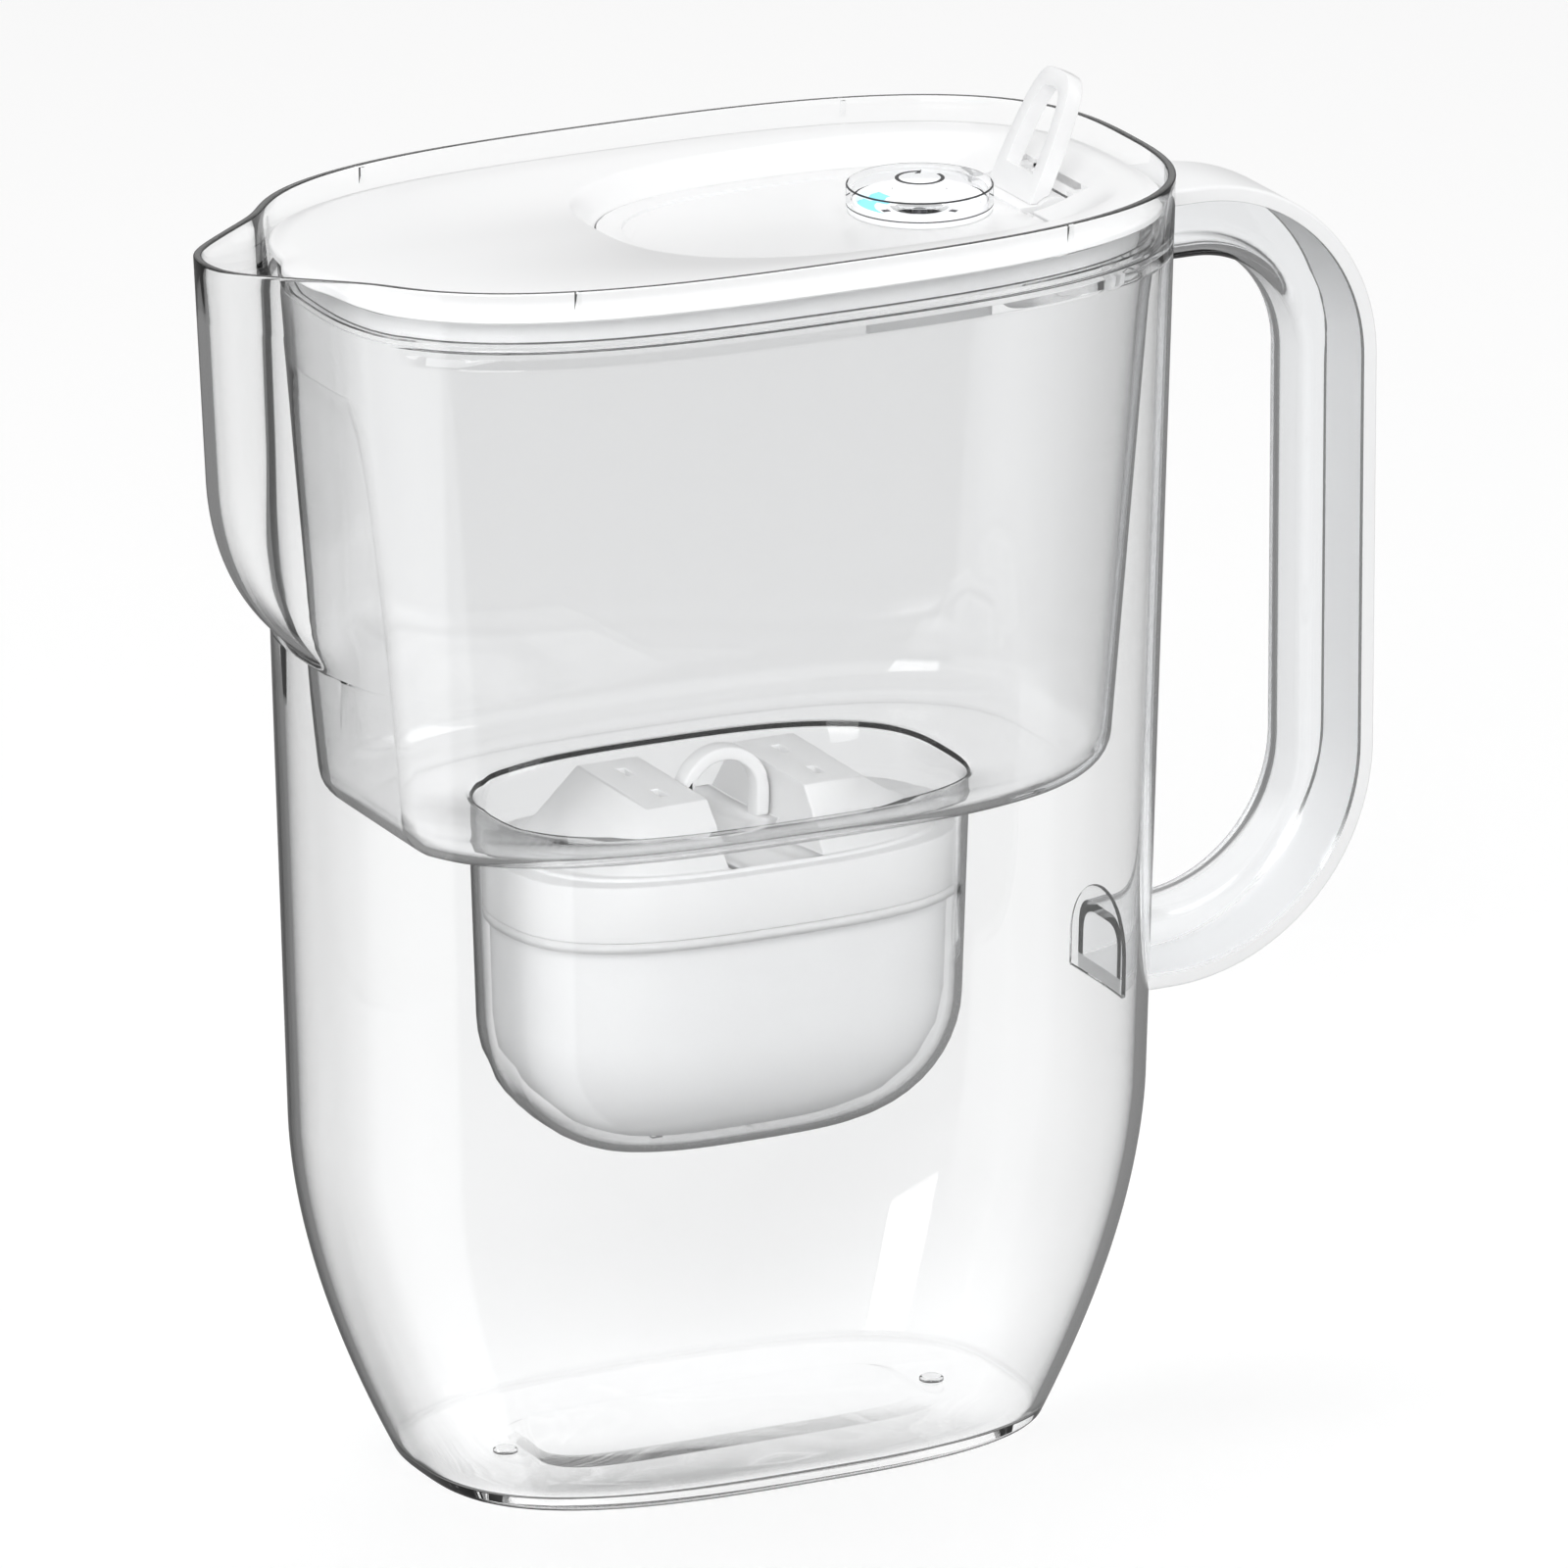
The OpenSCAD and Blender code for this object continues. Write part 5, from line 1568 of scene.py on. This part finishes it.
@dataclass(frozen=True)
class Studio:
    """Camera, lamps, floor, and the strip lights and dark walls that the clear plastic mirrors.

    The strips are pairs of a direction in degrees, from the handle side, and a brightness.
    """

    camera_place: Point = (-1763.8, -3579.5, 1429.8)
    turn: float = -26.43
    elevation: float = 17.88
    lens: float = 461.2
    sensor: float = 36.0
    sky: float = 0.64
    floor_white: float = 0.80
    floor_glow: float = 0.27
    floor_size: float = 6000.0
    overhead: Flat = (0.05, 0.30)
    aim: Point = (0.0, 0.0, 0.14)
    lamps: tuple[tuple[str, Point, Flat, float], ...] = (
        ("key_lamp", (-1.1, -1.5, 1.1), (0.9, 1.3), 15.0),
        ("fill_lamp", (1.7, -1.1, 1.0), (0.7, 1.3), 6.0),
        ("top_lamp", (0.1, 0.5, 2.1), (1.6, 1.2), 7.5),
    )
    strips: tuple[tuple[float, float], ...] = (
        (-180, 0.95), (-148, 0.95), (-146, 0.20), (-54, 0.20), (-45, 0.42), (-27, 0.55), (-14, 0.28),
        (30, 0.26), (60, 0.24), (112, 0.24), (138, 0.24), (156, 0.70), (180, 0.95),
    )

    def build(self) -> None:
        """Builds the whole studio."""
        self.camera()
        self.world()
        self.floor()
        for name, place, size, power in self.lamps:
            self.lamp(name, place, size, power)

    def camera(self) -> None:
        """Makes the camera at the photograph's angle."""
        a, e = math.radians(self.turn), math.radians(self.elevation)
        right = Vector((math.cos(a), math.sin(a), 0))
        up = Vector((-math.sin(a) * math.sin(e), math.cos(a) * math.sin(e), math.cos(e)))
        back = Vector((math.sin(a) * math.cos(e), -math.cos(a) * math.cos(e), math.sin(e)))
        data = bpy.data.cameras.new("camera")
        data.lens, data.sensor_width = self.lens, self.sensor
        data.clip_start, data.clip_end = 0.05, 60.0
        camera = bpy.data.objects.new("camera", data)
        place = Matrix((right, up, back)).transposed().to_4x4()
        place.translation = Vector(self.camera_place) * MM
        camera.matrix_world = place
        bpy.context.scene.collection.objects.link(camera)
        bpy.context.scene.camera = camera

    def world(self) -> None:
        """Makes a pale world: plain light, a white background, and strips that only reflections see."""
        world = bpy.data.worlds.new("studio")
        bpy.context.scene.world = world
        world.use_nodes = True
        n = Nodes("studio", world.node_tree)
        place, split = n.add("TexCoord"), n.add("SeparateXYZ")
        n.link(place.outputs["Generated"], split.inputs[0])
        turn, share = n.add("Math", operation="ARCTAN2"), n.add("MapRange")
        n.link(split.outputs["Y"], turn.inputs[0])
        n.link(split.outputs["X"], turn.inputs[1])
        share.inputs["From Min"].default_value = -math.pi
        share.inputs["From Max"].default_value = math.pi
        n.link(turn.outputs[0], share.inputs["Value"])
        stops = [((degrees + 180) / 360, (level,) * 3) for degrees, level in self.strips]
        strips = n.ramp(share.outputs[0], stops)
        rise = n.add("MapRange")
        for end, height in zip(("From Min", "From Max"), self.overhead):
            rise.inputs[end].default_value = height
        n.link(split.outputs["Z"], rise.inputs["Value"])
        mirrored = n.add("Mix", data_type="RGBA")
        n.link(rise.outputs[0], mirrored.inputs["Factor"])
        n.link(strips, mirrored.inputs["A"])
        mirrored.inputs["B"].default_value = WHITE
        sky, white, studio = n.add("Background"), n.add("Background"), n.add("Background")
        sky.inputs["Color"].default_value = white.inputs["Color"].default_value = WHITE
        sky.inputs["Strength"].default_value = self.sky
        n.link(mirrored.outputs["Result"], studio.inputs["Color"])
        straight = n.mix(n.seen(), sky.outputs[0], white.outputs[0])
        n.finish(n.mix(n.reflected(), straight, studio.outputs[0]))

    def floor(self) -> None:
        """Makes the white floor, which keeps the object's shadow and stays out of reflections."""
        n = Nodes("floor_white")
        diffuse, glow, none = n.add("BsdfDiffuse"), n.add("Emission"), n.add("Emission")
        diffuse.inputs["Color"].default_value = (*(self.floor_white,) * 3, 1.0)
        glow.inputs["Color"].default_value = WHITE
        glow.inputs["Strength"].default_value = self.floor_glow
        none.inputs["Strength"].default_value = 0.0
        both = n.add("AddShader")
        n.link(diffuse.outputs[0], both.inputs[0])
        n.link(n.mix(n.seen(), none.outputs[0], glow.outputs[0]), both.inputs[1])
        clear = n.add("BsdfTransparent")
        material = n.finish(n.mix(n.reflected(), both.outputs[0], clear.outputs[0]))
        size = self.floor_size
        corners = [(-size, -size, 0), (size, -size, 0), (size, size, 0), (-size, size, 0)]
        floor = add_mesh("floor", corners, [(0, 1, 2, 3)])
        floor.data.materials.append(material)

    def lamp(self, name: str, place: Point, size: Flat, power: float) -> None:
        """Makes a soft rectangular lamp aimed at the pitcher.

        Args:
            name: The lamp's name.
            place: Its place in metres.
            size: Its width and height in metres.
            power: Its power in watts.
        """
        data = bpy.data.lights.new(name, "AREA")
        data.shape, data.size, data.size_y, data.energy = "RECTANGLE", size[0], size[1], power
        lamp = bpy.data.objects.new(name, data)
        lamp.location = place
        aim = Vector(self.aim) - Vector(place)
        lamp.rotation_euler = aim.to_track_quat("-Z", "Y").to_euler()
        bpy.context.scene.collection.objects.link(lamp)


def main() -> None:
    """Loads the frame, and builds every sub-assembly and the studio."""
    logging.basicConfig(level=logging.INFO, format="%(name)s: %(message)s")
    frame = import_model()
    bpy.context.scene.view_settings.view_transform = "Standard"
    palette = Palette.make()
    jug = Jug()
    jug.build(palette)
    Grip().build(palette, jug.form)
    Funnel().build(palette)
    Cartridge().build(frame, palette)
    Lid().build(frame, palette)
    Flap().build(frame, palette)
    Indicator().build(frame, palette)
    Studio().build()


if __name__ == "__main__":
    main()
